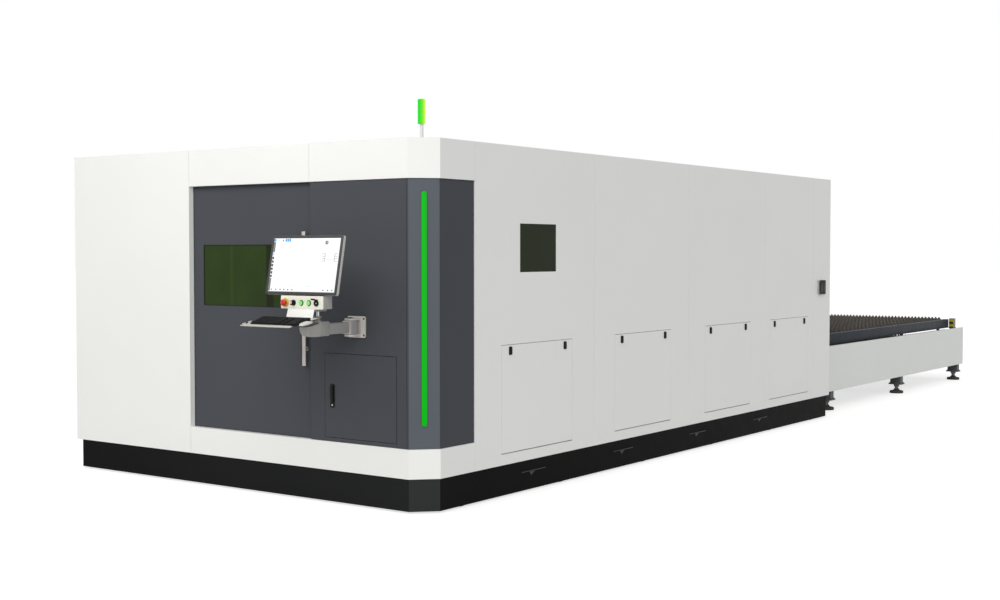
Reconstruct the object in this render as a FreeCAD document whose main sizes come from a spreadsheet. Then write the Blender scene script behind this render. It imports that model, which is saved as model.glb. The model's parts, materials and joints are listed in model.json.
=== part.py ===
# Fiber laser cutting machine with a pallet exchange table.
# Millimetres. X runs across the machine (+X is the wall with the service hatches), the operator's
# front faces -Y, the exchange table leaves the back towards +Y, and Z is up from the floor.
# The origin is on the floor, in the middle of the machine's length and width.
import FreeCAD, Part
import os
import re
import Sketcher

V = FreeCAD.Vector
Turn = FreeCAD.Rotation

SIZES = {
    # enclosure
    "encl_w": (3330, "outer width of the enclosure"),
    "encl_len": (6270, "outer length of the enclosure"),
    "encl_top": (2300, "top of the walls above the floor"),
    "table_len": (4750, "length of the exchange table behind the enclosure"),
    "reach": (757, "reach of the keyboard tray in front of the enclosure"),
    "corner": (140, "width of the 45 degree corner, measured along each wall"),
    "skin": (3, "sheet thickness of panels and covers"),
    "run": (0.3, "clearance between neighbouring pieces"),
    "fold": (30, "depth of a wall sheet's folded edge"),
    "band_fold": (40, "depth of the front bands' folded edge"),
    "seam": (3, "gap between neighbouring panels"),
    "swing_gap": (2, "extra gap along a hinged edge"),
    "pivot_back": (8, "hinge pin behind the face of a hatch or cabinet door"),
    "pivot_edge": (5, "hinge pin from the hinged edge"),
    "pivot_r": (3, "radius of a hinge pin"),
    "skirt_top": (212, "top of the skirt, where the white panels start"),
    "skirt_low": (12, "floor clearance of the skirt"),
    "skirt_in": (4, "setback of the skirt behind the panels"),
    "skirt_left_in": (60, "setback of the skirt at the left wall"),
    "skirt_rear_in": (76, "setback of the skirt at the rear wall"),
    "skirt_sheet": (5, "thickness of the skirt"),
    "slot_w": (280, "width of a jacking bracket on the skirt"),
    "slot_first": (1015, "first jacking bracket from the front"),
    "slot_pitch": (1185, "distance between jacking brackets"),
    "sill_top": (395, "top of the white band under the door"),
    "header_low": (2054, "bottom of the white band over the door"),
    "left_panel_w": (1240, "width of the white panel left of the door"),
    "side_dark": (495, "length of the dark corner cover along the right wall"),
    "last_bay": (1072, "length of the last but one wall sheet"),
    "last_sheet": (410, "length of the last wall sheet"),
    "dark_in": (8, "setback of the dark fixed panel and corner cover"),
    "corner_flat": (15, "flat edge of the corner cover beside the bend"),
    # front door
    "door_w": (1130, "visible width of the sliding door"),
    "leaf_in": (45, "setback of the door leaf"),
    "leaf_t": (30, "thickness of the door leaf"),
    "leaf_lap": (20, "overlap of the leaf behind its neighbours"),
    "window_w": (880, "width of the door window"),
    "window_h": (410, "height of the door window"),
    "window_low": (1240, "bottom of the door window above the floor"),
    "window_in": (98, "door window from the leaf's visible left edge"),
    "glass": (6, "thickness of the laser safety glass"),
    "glass_lap": (20, "overlap of the glass behind its frame"),
    "handle_len": (870, "length of the pull handle"),
    "handle_low": (866, "lower end of the pull handle above the floor"),
    "handle_in": (64, "pull handle from the leaf's visible right edge"),
    "handle_w": (30, "width of the pull handle's flat bar"),
    "handle_t": (10, "thickness of the pull handle's flat bar"),
    "handle_gap": (24, "finger gap behind the pull handle"),
    "handle_foot": (110, "standoff from the end of the pull handle"),
    "track": (36, "height of the door tracks"),
    # cabinet door in the dark fixed panel
    "cab_w": (592, "width of the cabinet door"),
    "cab_h": (535, "height of the cabinet door"),
    "cab_low": (423, "bottom of the cabinet door above the floor"),
    "cab_right": (242, "cabinet door from the right wall"),
    "cab_t": (20, "depth of the cabinet door's folded edge"),
    "lock_w": (40, "width of the swing handle"),
    "lock_h": (152, "height of the swing handle"),
    "lock_low": (612, "lower end of the swing handle above the floor"),
    "lock_in": (45, "swing handle from the cabinet door's free edge"),
    # corner light
    "light_w": (34, "width of the light strip"),
    "light_low": (534, "lower end of the light strip"),
    "light_top": (1975, "upper end of the light strip"),
    "light_t": (6, "depth of the light strip"),
    # service hatches
    "hatch_w": (850, "width of a service hatch"),
    "hatch_low": (288, "bottom of a service hatch above the floor"),
    "hatch_top": (995, "top of a service hatch above the floor"),
    "hatch_t": (20, "depth of the hatch's folded edge"),
    "latch_w": (34, "width of a hatch latch"),
    "latch_h": (55, "height of a hatch latch"),
    "latch_down": (38, "latch axis below the hatch's top edge"),
    "latch_apart": (656, "distance between the two latches of a hatch"),
    "tongue": (58, "reach of a latch tongue from its axis"),
    "side_window_w": (435, "width of the side window"),
    "side_window_h": (322, "height of the side window"),
    "side_window_low": (1470, "bottom of the side window above the floor"),
    # feet
    "foot_r": (75, "radius of a levelling foot's disc"),
    "foot_first": (405, "first machine foot from the front"),
    "foot_pitch": (1146, "distance between machine feet"),
    "foot_last": (350, "last machine foot from the rear wall"),
    # bed
    "bed_in": (90, "bed beam's outer face from the enclosure's outer face"),
    "beam_w": (100, "width of the bed's beams and posts"),
    "base_low": (112, "underside of the base tubes"),
    "base_top": (282, "top of the base tubes"),
    "bed_top": (900, "top of the bed's upper beams"),
    "bed_beam_h": (200, "height of the bed's upper beams"),
    "bed_first": (160, "start of the bed from the front"),
    "bed_last": (102, "end of the bed from the rear wall"),
    "cut_start": (1800, "start of the cutting area from the front"),
    "rail_t": (12, "thickness of the pallet wheel rails"),
    "rail_w": (95, "width of the pallet wheel rails"),
    "post": (50, "side of the enclosure's square posts"),
    # slag bins
    "bin_w": (780, "width of a slag bin"),
    "bin_h": (95, "height of a slag bin"),
    "bin_len": (1380, "length of a slag bin"),
    # gantry
    "guide_w": (45, "width of a linear guide"),
    "guide_h": (30, "height of a linear guide"),
    "rack": (25, "side of the gear rack"),
    "rails_first": (175, "start of the guides and racks from the front"),
    "gantry_y": (1000, "rear face of the parked gantry beam from the front"),
    "gantry_w": (250, "width of the gantry beam"),
    "gantry_low": (1010, "underside of the gantry beam"),
    "gantry_h": (260, "height of the gantry beam"),
    "carriage_w": (300, "width of the cross carriage"),
    "carriage_h": (380, "height of the cross carriage"),
    "nozzle_low": (850, "nozzle tip above the floor with the head raised"),
    # exchange table
    "cover_in": (170, "side cover from the enclosure's outer face"),
    "cover_low": (195, "bottom of the side cover"),
    "cover_top": (655, "top of the side cover"),
    "cover_wall": (6, "sheet thickness of the side cover"),
    "cover_round": (17, "radius of the side cover's free corners"),
    "leg_in": (75, "leg axis from the side cover's outer face"),
    "leg_first": (535, "first leg from the rear wall"),
    "leg_pitch": (2040, "distance between legs"),
    "leg_w": (120, "leg width across the machine"),
    "leg_d": (80, "leg depth along the machine"),
    "leg_low": (100, "underside of the leg's base flange"),
    "table_gap": (30, "gap between the rear wall and the pallets"),
    "stop_in": (350, "end stop from the table's free end"),
    # pallets
    "pallet_w": (2860, "outer width of a pallet"),
    "pallet_len": (4350, "length of a pallet"),
    "pallet_low": (662, "underside of the upper pallet's side rails"),
    "pallet_rail_h": (106, "height of a pallet's side rails"),
    "pallet_rail_w": (60, "width of a pallet's side rails"),
    "pallet_end_drop": (13, "the end rails lie this much lower"),
    "wheel_r": (30, "radius of a pallet wheel"),
    "wheel_w": (24, "width of a pallet wheel"),
    "wheel_first": (560, "first wheel from the pallet's inner end"),
    "wheel_pitch": (1100, "distance between wheels"),
    "wheel_last": (305, "last wheel from the pallet's outer end"),
    "rail_top": (640, "top of the wheel rails"),
    "slat_top": (800, "tips of the slats, the working level"),
    "slat_h": (100, "height of a slat"),
    "slat_t": (5, "thickness of a slat"),
    "slat_count": (17, "slats on a pallet"),
    "tooth_pitch": (340, "pitch of the slats' teeth"),
    "tooth_h": (24, "height of the slats' teeth"),
    "level": (230, "the lower pallet lies this much below the upper one"),
    "lift_plate": (30, "thickness of the lift's side plates"),
    "lift_gap": (10, "gap between pallets and the lift's side plates"),
    "shutter_w": (2956, "width of the rear shutter door"),
    "shutter_h": (612, "height of the rear shutter door"),
    "shutter_t": (20, "thickness of the rear shutter door"),
    "mouth_low": (395, "bottom of the rear pallet opening"),
    "mouth_top": (1005, "top of the rear pallet opening"),
    # operator pendant
    "bracket_in": (554, "pendant bracket's axis from the right wall"),
    "bracket_z": (1135, "height of the swing arm's axis line"),
    "plate_w": (150, "width of the bracket's wall plate"),
    "plate_h": (135, "height of the bracket's wall plate"),
    "plate_t": (12, "thickness of the bracket's wall plate"),
    "lug_h": (112, "outer height over the bracket's lugs"),
    "pivot_out": (60, "swing arm pivot in front of the enclosure"),
    "pin_r": (10, "radius of the pendant's pivot pins"),
    "arm_w": (52, "width of the swing arm"),
    "arm_h": (78, "height of the swing arm"),
    "elbow_w": (75, "width of the elbow housing"),
    "elbow_h": (103, "height of the elbow housing"),
    "elbow_start": (295, "rear of the elbow housing in front of the enclosure"),
    "elbow_end": (515, "front of the elbow housing in front of the enclosure"),
    "post_out": (354, "console post in front of the enclosure"),
    "console_w": (344, "width of the console box"),
    "console_h": (78, "height of the console box"),
    "console_d": (78, "depth of the console box"),
    "console_low": (1264, "underside of the console box"),
    "console_out": (490, "front of the console box in front of the enclosure"),
    "face_t": (4, "thickness of the console's front plate"),
    "button_z": (1300, "height of the console's row of controls"),
    "button_pitch": (62, "distance between the console's controls"),
    "monitor_w": (580, "width of the monitor"),
    "monitor_h": (362, "height of the monitor"),
    "monitor_t": (26, "depth of the monitor's frame"),
    "monitor_gap": (7, "gap between the console box and the monitor"),
    "monitor_off": (27, "monitor's middle to the left of the console's"),
    "bezel": (17, "width of the monitor's frame beside the screen"),
    "tray_w": (395, "width of the keyboard part of the tray"),
    "tray_wing": (120, "width of the mouse wing of the tray"),
    "tray_left": (248, "left edge of the tray from the console's middle"),
    "tray_d": (237, "depth of the tray along its slope"),
    "tray_out": (30, "rear edge of the tray in front of the console's face"),
    "tray_z": (1212, "height of the tray's rear edge"),
    "keyboard_w": (350, "width of the keyboard"),
    "keyboard_d": (128, "depth of the keyboard"),
    "keyboard_t": (18, "thickness of the keyboard"),
    # signal tower and side box
    "tower_in": (160, "signal tower from the front and the right wall"),
    "tower_pole": (92, "height of the pole above the roof"),
    "lens_h": (153, "height of the signal lens"),
    "lens_r": (25, "radius of the signal lens"),
    "box_first": (5966, "side control box from the front"),
    "box_w": (150, "width of the side control box"),
    "box_h": (134, "height of the side control box"),
    "box_t": (23, "depth of the side control box"),
    "box_low": (1198, "bottom of the side control box"),
}

TRAY_SLOPE = 10.5       # degrees, falling towards the operator
MONITOR_LEAN = 11      # degrees, the top leans back

# Places that many pieces share, as formulas of the sizes above
RIGHT = "encl_w/2"
LEFT = "-encl_w/2"
FRONT = "((reach - encl_len - table_len)/2)"
REAR = f"({FRONT} + encl_len)"
END = f"({REAR} + table_len)"
BEND = "(sqrt(2) - 1)"                                   # shift of a 45 degree bend per offset
DOOR_L = f"({LEFT} + left_panel_w)"
DOOR_R = f"({DOOR_L} + door_w)"
BED_OUT = f"({RIGHT} - bed_in)"
BED_IN = f"({BED_OUT} - beam_w)"
PALLET = "pallet_w/2"
COVER_OUT = f"({RIGHT} - cover_in)"
COVER_IN = f"({COVER_OUT} - cover_wall)"
LIFT_IN = f"({PALLET} + lift_gap)"
ARM_X = f"({RIGHT} - bracket_in)"
CONSOLE_X = ARM_X
CONSOLE_TOP = "(console_low + console_h)"
BAY = "(encl_len - side_dark - last_bay - last_sheet)/3"
SEAMS = ["side_dark"] + [f"(side_dark + {i}*{BAY})" for i in (1, 2, 3)]
SEAMS += ["(encl_len - last_sheet)", "encl_len"]
HATCH_MIDS = [f"({FRONT} + side_dark + {i + 0.5}*{BAY})" for i in range(3)]
HATCH_MIDS += [f"({FRONT} + encl_len - last_sheet - last_bay/2)"]

doc = FreeCAD.newDocument("laser_cutter")
NODES = []


def make_sheet():
    """The sheet of driving sizes: name, value and meaning in three columns."""
    sheet = doc.addObject("Spreadsheet::Sheet", "dims")
    for row, (name, (value, meaning)) in enumerate(SIZES.items(), start=1):
        sheet.set(f"A{row}", name)
        sheet.set(f"B{row}", str(value))
        sheet.set(f"C{row}", meaning)
        sheet.setAlias(f"B{row}", name)
    doc.recompute()
    return sheet


def bound(formula):
    """The formula with each size's name turned into its cell of the sheet."""
    def cell(match):
        return "dims." + match.group() if match.group() in SIZES else match.group()
    return re.sub(r"[a-z][a-z_]*", cell, formula)


def place(part, x="0", y="0", z="0", turn=None):
    """Puts a part at three formulas, turned by a fixed rotation."""
    if turn is not None:
        part.Placement = FreeCAD.Placement(V(), turn)
    for axis, formula in zip("xyz", (x, y, z)):
        part.setExpression("Placement.Base." + axis, bound(formula))
    return part


def box(name, x, y, z):
    """A box from a low to a high formula on each axis."""
    part = doc.addObject("Part::Box", name)
    for prop, (low, high) in zip(("Length", "Width", "Height"), (x, y, z)):
        part.setExpression(prop, bound(f"({high}) - ({low})"))
    return place(part, x[0], y[0], z[0])


ALONG = {"z": Turn(), "x": Turn(V(0, 1, 0), 90), "y": Turn(V(1, 0, 0), -90)}


def rod(name, along, start, radius, length, sides=0):
    """A cylinder from a start point along one axis, or a prism with that many sides."""
    part = doc.addObject("Part::Prism" if sides else "Part::Cylinder", name)
    if sides:
        part.Polygon = sides
    part.setExpression("Circumradius" if sides else "Radius", bound(radius))
    part.setExpression("Height", bound(length))
    return place(part, *start, ALONG[along])


def fuse(name, *shapes):
    part = doc.addObject("Part::MultiFuse", name)
    part.Shapes = list(shapes)
    return part


def cut(name, base, *tools):
    part = doc.addObject("Part::Cut", name)
    part.Base = base
    part.Tool = tools[0] if len(tools) == 1 else fuse(name + "_tools", *tools)
    return part


def group(name, shapes):
    """Separate solids of one node."""
    part = doc.addObject("Part::Compound", name)
    part.Links = list(shapes)
    return part


def node(name, part):
    """Names a finished sub-part, which is written to its own file."""
    part.Label = name
    NODES.append(part)
    return part


def origin_plane(body, role):
    return next(o for o in body.Origin.OriginFeatures if o.Role == role + "_Plane")


def draw(sketch, outline):
    """A closed outline of straight edges, each corner bound to two formulas."""
    first = sketch.GeometryCount
    count = len(outline)
    for i in range(count):
        angle = i / count
        nxt = (i + 1) / count
        sketch.addGeometry(Part.LineSegment(V(1 + angle, i, 0), V(1 + nxt, i + 1, 0)), False)
    for i, (across, up) in enumerate(outline):
        line = first + i
        sketch.addConstraint(Sketcher.Constraint("Coincident", line, 2, first + (i + 1) % count, 1))
        for kind, formula in (("DistanceX", across), ("DistanceY", up)):
            index = sketch.addConstraint(Sketcher.Constraint(kind, -1, 1, line, 1, 1.0))
            sketch.setExpression(f"Constraints[{index}]", bound(formula))


def profile(body, name, plane, outlines, offset="0"):
    """A sketch on one of the body's origin planes, moved along the plane's normal."""
    sketch = body.newObject("Sketcher::SketchObject", name)
    sketch.AttachmentSupport = [(origin_plane(body, plane), "")]
    sketch.MapMode = "FlatFace"
    sketch.setExpression("AttachmentOffset.Base.z", bound(offset))
    for outline in outlines:
        draw(sketch, outline)
    return sketch


NORMAL = {"XY": V(0, 0, 1), "XZ": V(0, 1, 0), "YZ": V(1, 0, 0)}


def prism(name, plane, outline, low, high, holes=(), rounding=None, corners=None):
    """A padded body between two formulas across its plane, with its long edges rounded if asked.

    corners picks which of the edges along the pad are rounded, by a test on their middle point.
    """
    body = doc.addObject("PartDesign::Body", name)
    offset = f"-({high})" if plane == "XZ" else low
    sketch = profile(body, name + "_outline", plane, [outline, *holes], offset)
    pad = body.newObject("PartDesign::Pad", name + "_pad")
    pad.Profile = sketch
    pad.setExpression("Length", bound(f"({high}) - ({low})"))
    if rounding:
        doc.recompute()
        names = []
        for i, edge in enumerate(pad.Shape.Edges, start=1):
            along = (edge.Vertexes[-1].Point - edge.Vertexes[0].Point).normalize()
            straight = abs(abs(along.dot(NORMAL[plane])) - 1) < 1e-6
            if straight and (corners is None or corners(edge.CenterOfMass)):
                names.append(f"Edge{i}")
        fillet = body.newObject("PartDesign::Fillet", name + "_rounding")
        fillet.Base = (pad, names)
        fillet.setExpression("Radius", bound(rounding))
        body.Tip = fillet
    return body


def pair(name, x_in, x_out, y, z):
    """Two boxes, the same distance right and left of the middle."""
    return [
        box(name + "_right", (x_in, x_out), y, z),
        box(name + "_left", (f"-({x_out})", f"-({x_in})"), y, z),
    ]


# ---------------------------------------------------------------- enclosure


def wall_pan(name, side, y_low, y_high, z_low="skirt_top", z_high="encl_top", openings=()):
    """One wall sheet with folded edges, open towards the machine's inside."""
    y = (f"{y_low} + seam/2", f"{y_high} - seam/2")
    if side > 0:
        outer, hollow = (f"{RIGHT} - fold", RIGHT), (f"{RIGHT} - fold - 1", f"{RIGHT} - skin")
    else:
        outer, hollow = (LEFT, f"{LEFT} + fold"), (f"{LEFT} + skin", f"{LEFT} + fold + 1")
    blank = box(name + "_blank", outer, y, (z_low, z_high))
    inside = box(
        name + "_inside",
        hollow,
        (f"{y[0]} + skin", f"{y[1]} - skin"),
        (f"{z_low} + skin", f"{z_high} - skin"),
    )
    return cut(name, blank, inside, *openings)


def pivot_plate(name, y_face, side, mid_z):
    """Plate behind the wall sheet beside a hatch, with the pin that the hatch turns on.

    The first pin of a hatch is round, and the other has flats to keep facets few.
    """
    far = f"{y_face} {'+' if side > 0 else '-'} 5"
    low, high = (y_face, far) if side > 0 else (far, y_face)
    plate = box(name + "_plate", (f"{RIGHT} - hatch_t", f"{RIGHT} - skin"), (low, high),
                (f"{mid_z} - 10", f"{mid_z} + 14"))
    start = f"{low} - 2*seam" if side > 0 else low
    pin = rod(name + "_pin", "y", (f"{RIGHT} - pivot_back", start, mid_z), "pivot_r", "5 + 2*seam",
              8 if side > 0 else 0)
    return fuse(name, plate, pin)


def make_right_wall():
    """Five sheets; four have a hatch opening, and the first has the side window too."""
    sheets = []
    pivots = []
    for i in range(5):
        openings = []
        if i < 4:
            mid = HATCH_MIDS[i]
            openings.append(box(
                f"hatch_opening_{i + 1}",
                (f"{RIGHT} - fold - 1", f"{RIGHT} + 1"),
                (f"{mid} - hatch_w/2 - seam", f"{mid} + hatch_w/2 + seam"),
                ("hatch_low - seam - swing_gap", "hatch_top + seam"),
            ))
            for side in (-1, 1):
                pivots.append(pivot_plate(
                    f"hatch_pivot_{i + 1}{'b' if side > 0 else 'a'}",
                    f"({mid} + {side}*(hatch_w/2 + seam))", side, "(hatch_low + pivot_edge)",
                ))
        if i == 0:
            openings.append(box(
                "side_window_opening",
                (f"{RIGHT} - fold - 1", f"{RIGHT} + 1"),
                (f"{HATCH_MIDS[0]} - side_window_w/2", f"{HATCH_MIDS[0]} + side_window_w/2"),
                ("side_window_low", "side_window_low + side_window_h"),
            ))
        y = (f"{FRONT} + {SEAMS[i]}", f"{FRONT} + {SEAMS[i + 1]}")
        sheets.append(wall_pan(f"right_sheet_{i + 1}", 1, *y, openings=openings))
    node("right_wall_panels", group("right_wall_group", sheets + pivots))
    node("side_window", box(
        "side_glass",
        (f"{RIGHT} - skin - glass", f"{RIGHT} - skin"),
        (f"{HATCH_MIDS[0]} - side_window_w/2 - glass_lap",
         f"{HATCH_MIDS[0]} + side_window_w/2 + glass_lap"),
        ("side_window_low - glass_lap", "side_window_low + side_window_h + glass_lap"),
    ))


def make_left_wall():
    starts = ["band_fold"] + SEAMS[:-1]
    sheets = [
        wall_pan(f"left_sheet_{i + 1}", -1, f"{FRONT} + {low}", f"{FRONT} + {high}")
        for i, (low, high) in enumerate(zip(starts, SEAMS))
    ]
    node("left_wall_panels", group("left_wall_group", sheets))


def rear_pan(name, x, z):
    """One rear sheet with folded edges."""
    blank = box(name + "_blank", x, (f"{REAR} - fold", REAR), z)
    inside = box(
        name + "_inside",
        (f"{x[0]} + skin", f"{x[1]} - skin"),
        (f"{REAR} - fold - 1", f"{REAR} - skin"),
        (f"{z[0]} + skin", f"{z[1]} - skin"),
    )
    return cut(name, blank, inside)


def make_rear_wall():
    """Four sheets round the pallet opening."""
    side = (f"{BED_IN} + seam", f"{RIGHT} - fold - run")
    left = (f"-({side[1]})", f"-({side[0]})")
    middle = (f"-{BED_IN}", BED_IN)
    full = ("skirt_top", "encl_top")
    node("rear_wall_panels", group("rear_wall_group", [
        rear_pan("rear_right", side, full),
        rear_pan("rear_left", left, full),
        rear_pan("rear_top", middle, ("mouth_top", "encl_top")),
        rear_pan("rear_low", middle, ("skirt_top", "mouth_low")),
    ]))


def bent_outline(x_start, near, far, y_end):
    """A strip of sheet seen from above: along the front, round the corner and down the right wall."""
    points = [(x_start, f"{FRONT} + {near}")]
    points += [(f"{RIGHT} - corner - {near}*{BEND}", f"{FRONT} + {near}")]
    points += [(f"{RIGHT} - {near}", f"{FRONT} + corner + {near}*{BEND}")]
    points += [(f"{RIGHT} - {near}", y_end), (f"{RIGHT} - {far}", y_end)]
    points += [(f"{RIGHT} - {far}", f"{FRONT} + corner + {far}*{BEND}")]
    points += [(f"{RIGHT} - corner - {far}*{BEND}", f"{FRONT} + {far}")]
    return points + [(x_start, f"{FRONT} + {far}")]


def bent_pan(name, x_start, near, far, y_end, z_low, z_high):
    """A bent sheet with folded edges, open towards the inside."""
    blank = prism(name + "_blank", "XY", bent_outline(x_start, near, far, y_end), z_low, z_high)
    inner = bent_outline(f"{x_start} + skin", f"({near} + skin)", f"({far} + 1)", f"{y_end} - skin")
    inside = prism(name + "_inside", "XY", inner, f"{z_low} + skin", f"{z_high} - skin")
    return cut(name, blank, inside)


def front_pan(name, x, depth, z, openings=()):
    """A flat front sheet with folded edges."""
    near, far = depth
    blank = box(name + "_blank", x, (f"{FRONT} + {near}", f"{FRONT} + {far}"), z)
    inside = box(
        name + "_inside",
        (f"{x[0]} + skin", f"{x[1]} - skin"),
        (f"{FRONT} + {near} + skin", f"{FRONT} + {far} + 1"),
        (f"{z[0]} + skin", f"{z[1]} - skin"),
    )
    return cut(name, blank, inside, *openings)


def make_front_panels():
    """White left panel, two header sheets and the sill that runs round the corner."""
    side_end = f"{FRONT} + side_dark - seam/2"
    node("front_panels", group("front_group", [
        front_pan("left_panel", (LEFT, DOOR_L), ("0", "band_fold"), ("skirt_top", "encl_top")),
        front_pan("header_left", (f"{DOOR_L} + seam", DOOR_R), ("0", "band_fold"),
                  ("header_low", "encl_top")),
        bent_pan("header_right", f"{DOOR_R} + seam", "0", "band_fold", side_end,
                 "header_low", "encl_top"),
        bent_pan("sill", f"{DOOR_L} + seam", "0", "band_fold", side_end, "skirt_top", "sill_top"),
    ]))


CAB_R = f"({RIGHT} - cab_right)"
CAB_L = f"({CAB_R} - cab_w)"
DARK_R = f"({RIGHT} - corner - dark_in*{BEND} - corner_flat)"
DARK_Z = ("sill_top + seam/2", "header_low - seam/2")


def make_dark_panels():
    """The fixed panel with the cabinet door's opening, and the cover round the corner."""
    opening = box(
        "cabinet_opening",
        (f"{CAB_L} - seam", f"{CAB_R} + seam + swing_gap"),
        (f"{FRONT} - 1", f"{FRONT} + dark_in + fold + 2"),
        ("cab_low - seam", "cab_low + cab_h + seam"),
    )
    panel = front_pan(
        "fixed_panel", (f"{DOOR_R} + seam", f"{DARK_R} - seam/2"),
        ("dark_in", "(dark_in + fold)"), DARK_Z, [opening],
    )
    pivots = []
    pin = (f"{CAB_R} - pivot_edge", f"{FRONT} + dark_in + pivot_back")
    for name, z in (("low", "cab_low - seam - 5"), ("top", "cab_low + cab_h + seam")):
        plate = box(f"cabinet_pivot_{name}", (f"{pin[0]} - 12", f"{pin[0]} + 10"),
                    (f"{FRONT} + dark_in + skin", f"{pin[1]} + 10"), (z, f"{z} + 5"))
        start, sides = (z, 0) if name == "low" else (f"{z} - 2*seam", 8)
        bolt = rod(f"cabinet_pin_{name}", "z", (*pin, start), "pivot_r", "5 + 2*seam", sides)
        pivots.append(fuse(f"cabinet_hinge_{name}", plate, bolt))
    node("fixed_front_panel", group("fixed_group", [panel, *pivots]))
    node("corner_cover", bent_pan(
        "corner_pan", f"{DARK_R} + seam/2", "dark_in", "(dark_in + fold)",
        f"{FRONT} + side_dark - seam/2", *DARK_Z,
    ))


def make_corner_light():
    """The round-ended strip in the middle of the corner, on the cover's face."""
    half = "light_w/2"
    middle = "(corner/2 + dark_in*sqrt(2)/2)"
    strip = prism(
        "light_strip", "XZ",
        [(f"-{half}", "light_low"), (half, "light_low"), (half, "light_top"), (f"-{half}", "light_top")],
        "-light_t", "-run", rounding="light_w/2 - 0.01",
    )
    place(strip, f"{RIGHT} - {middle}", f"{FRONT} + {middle}", "0", Turn(V(0, 0, 1), 45))
    node("corner_light", strip)


def make_skirt():
    """Five flat skirt sheets and the four jacking brackets on the right one."""
    front = f"{FRONT} + skirt_in"
    right = f"{RIGHT} - skirt_in"
    left = f"{LEFT} + skirt_left_in"
    rear = f"{REAR} - skirt_rear_in"
    bend_x = f"{RIGHT} - corner"
    bend_y = f"{FRONT} + corner"
    z = ("skirt_low", "skirt_top")
    sheets = [
        box("skirt_front", (left, bend_x), (front, f"{front} + skirt_sheet"), z),
        prism("skirt_corner", "XY",
              [(bend_x, front), (right, bend_y), (f"{right} - skirt_sheet", bend_y),
               (bend_x, f"{front} + skirt_sheet")], *z),
        box("skirt_right", (f"{right} - skirt_sheet", right), (bend_y, rear), z),
        box("skirt_rear", (left, f"{right} - skirt_sheet"), (f"{rear} - skirt_sheet", rear), z),
        box("skirt_left", (left, f"{left} + skirt_sheet"),
            (f"{front} + skirt_sheet", f"{rear} - skirt_sheet"), z),
    ]
    for i in range(4):
        start = f"{FRONT} + slot_first + {i}*slot_pitch"
        sheets.append(prism(
            f"jacking_bracket_{i + 1}", "YZ",
            [(start, "skirt_top/2 + 34"), (f"{start} + slot_w", "skirt_top/2 + 34"),
             (f"{start} + slot_w", "skirt_top/2 + 26"), (f"{start} + slot_w*0.6", "skirt_top/2 + 26"),
             (f"{start} + slot_w*0.4", "skirt_top/2 - 2"), (f"{start} + slot_w*0.3", "skirt_top/2 + 26")],
            right, f"{right} + 3",
        ))
    node("skirt_panels", group("skirt_group", sheets))


def make_roof():
    """Roof sheets between the walls; the first is cut to the corner."""
    z = ("encl_top - 10", "encl_top - 10 + skin")
    inner = f"{RIGHT} - fold - seam"
    start = f"{FRONT} + band_fold + seam"
    slope = f"corner + band_fold*{BEND}"
    first_end = f"{FRONT} + {SEAMS[0]} - seam/2"
    sheets = [prism(
        "roof_sheet_1", "XY",
        [(f"-({inner})", start), (f"{RIGHT} - {slope} - 4", start),
         (f"{RIGHT} - band_fold - seam", f"{FRONT} + {slope} + 4"),
         (f"{RIGHT} - band_fold - seam", first_end), (f"-({inner})", first_end)], *z,
    )]
    for i in range(5):
        end = f"{FRONT} + {SEAMS[i + 1]}" + (" - fold - seam" if i == 4 else " - seam/2")
        sheets.append(box(
            f"roof_sheet_{i + 2}", (f"-({inner})", inner), (f"{FRONT} + {SEAMS[i]} + seam/2", end), z,
        ))
    node("roof_panels", group("roof_group", sheets))


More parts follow.
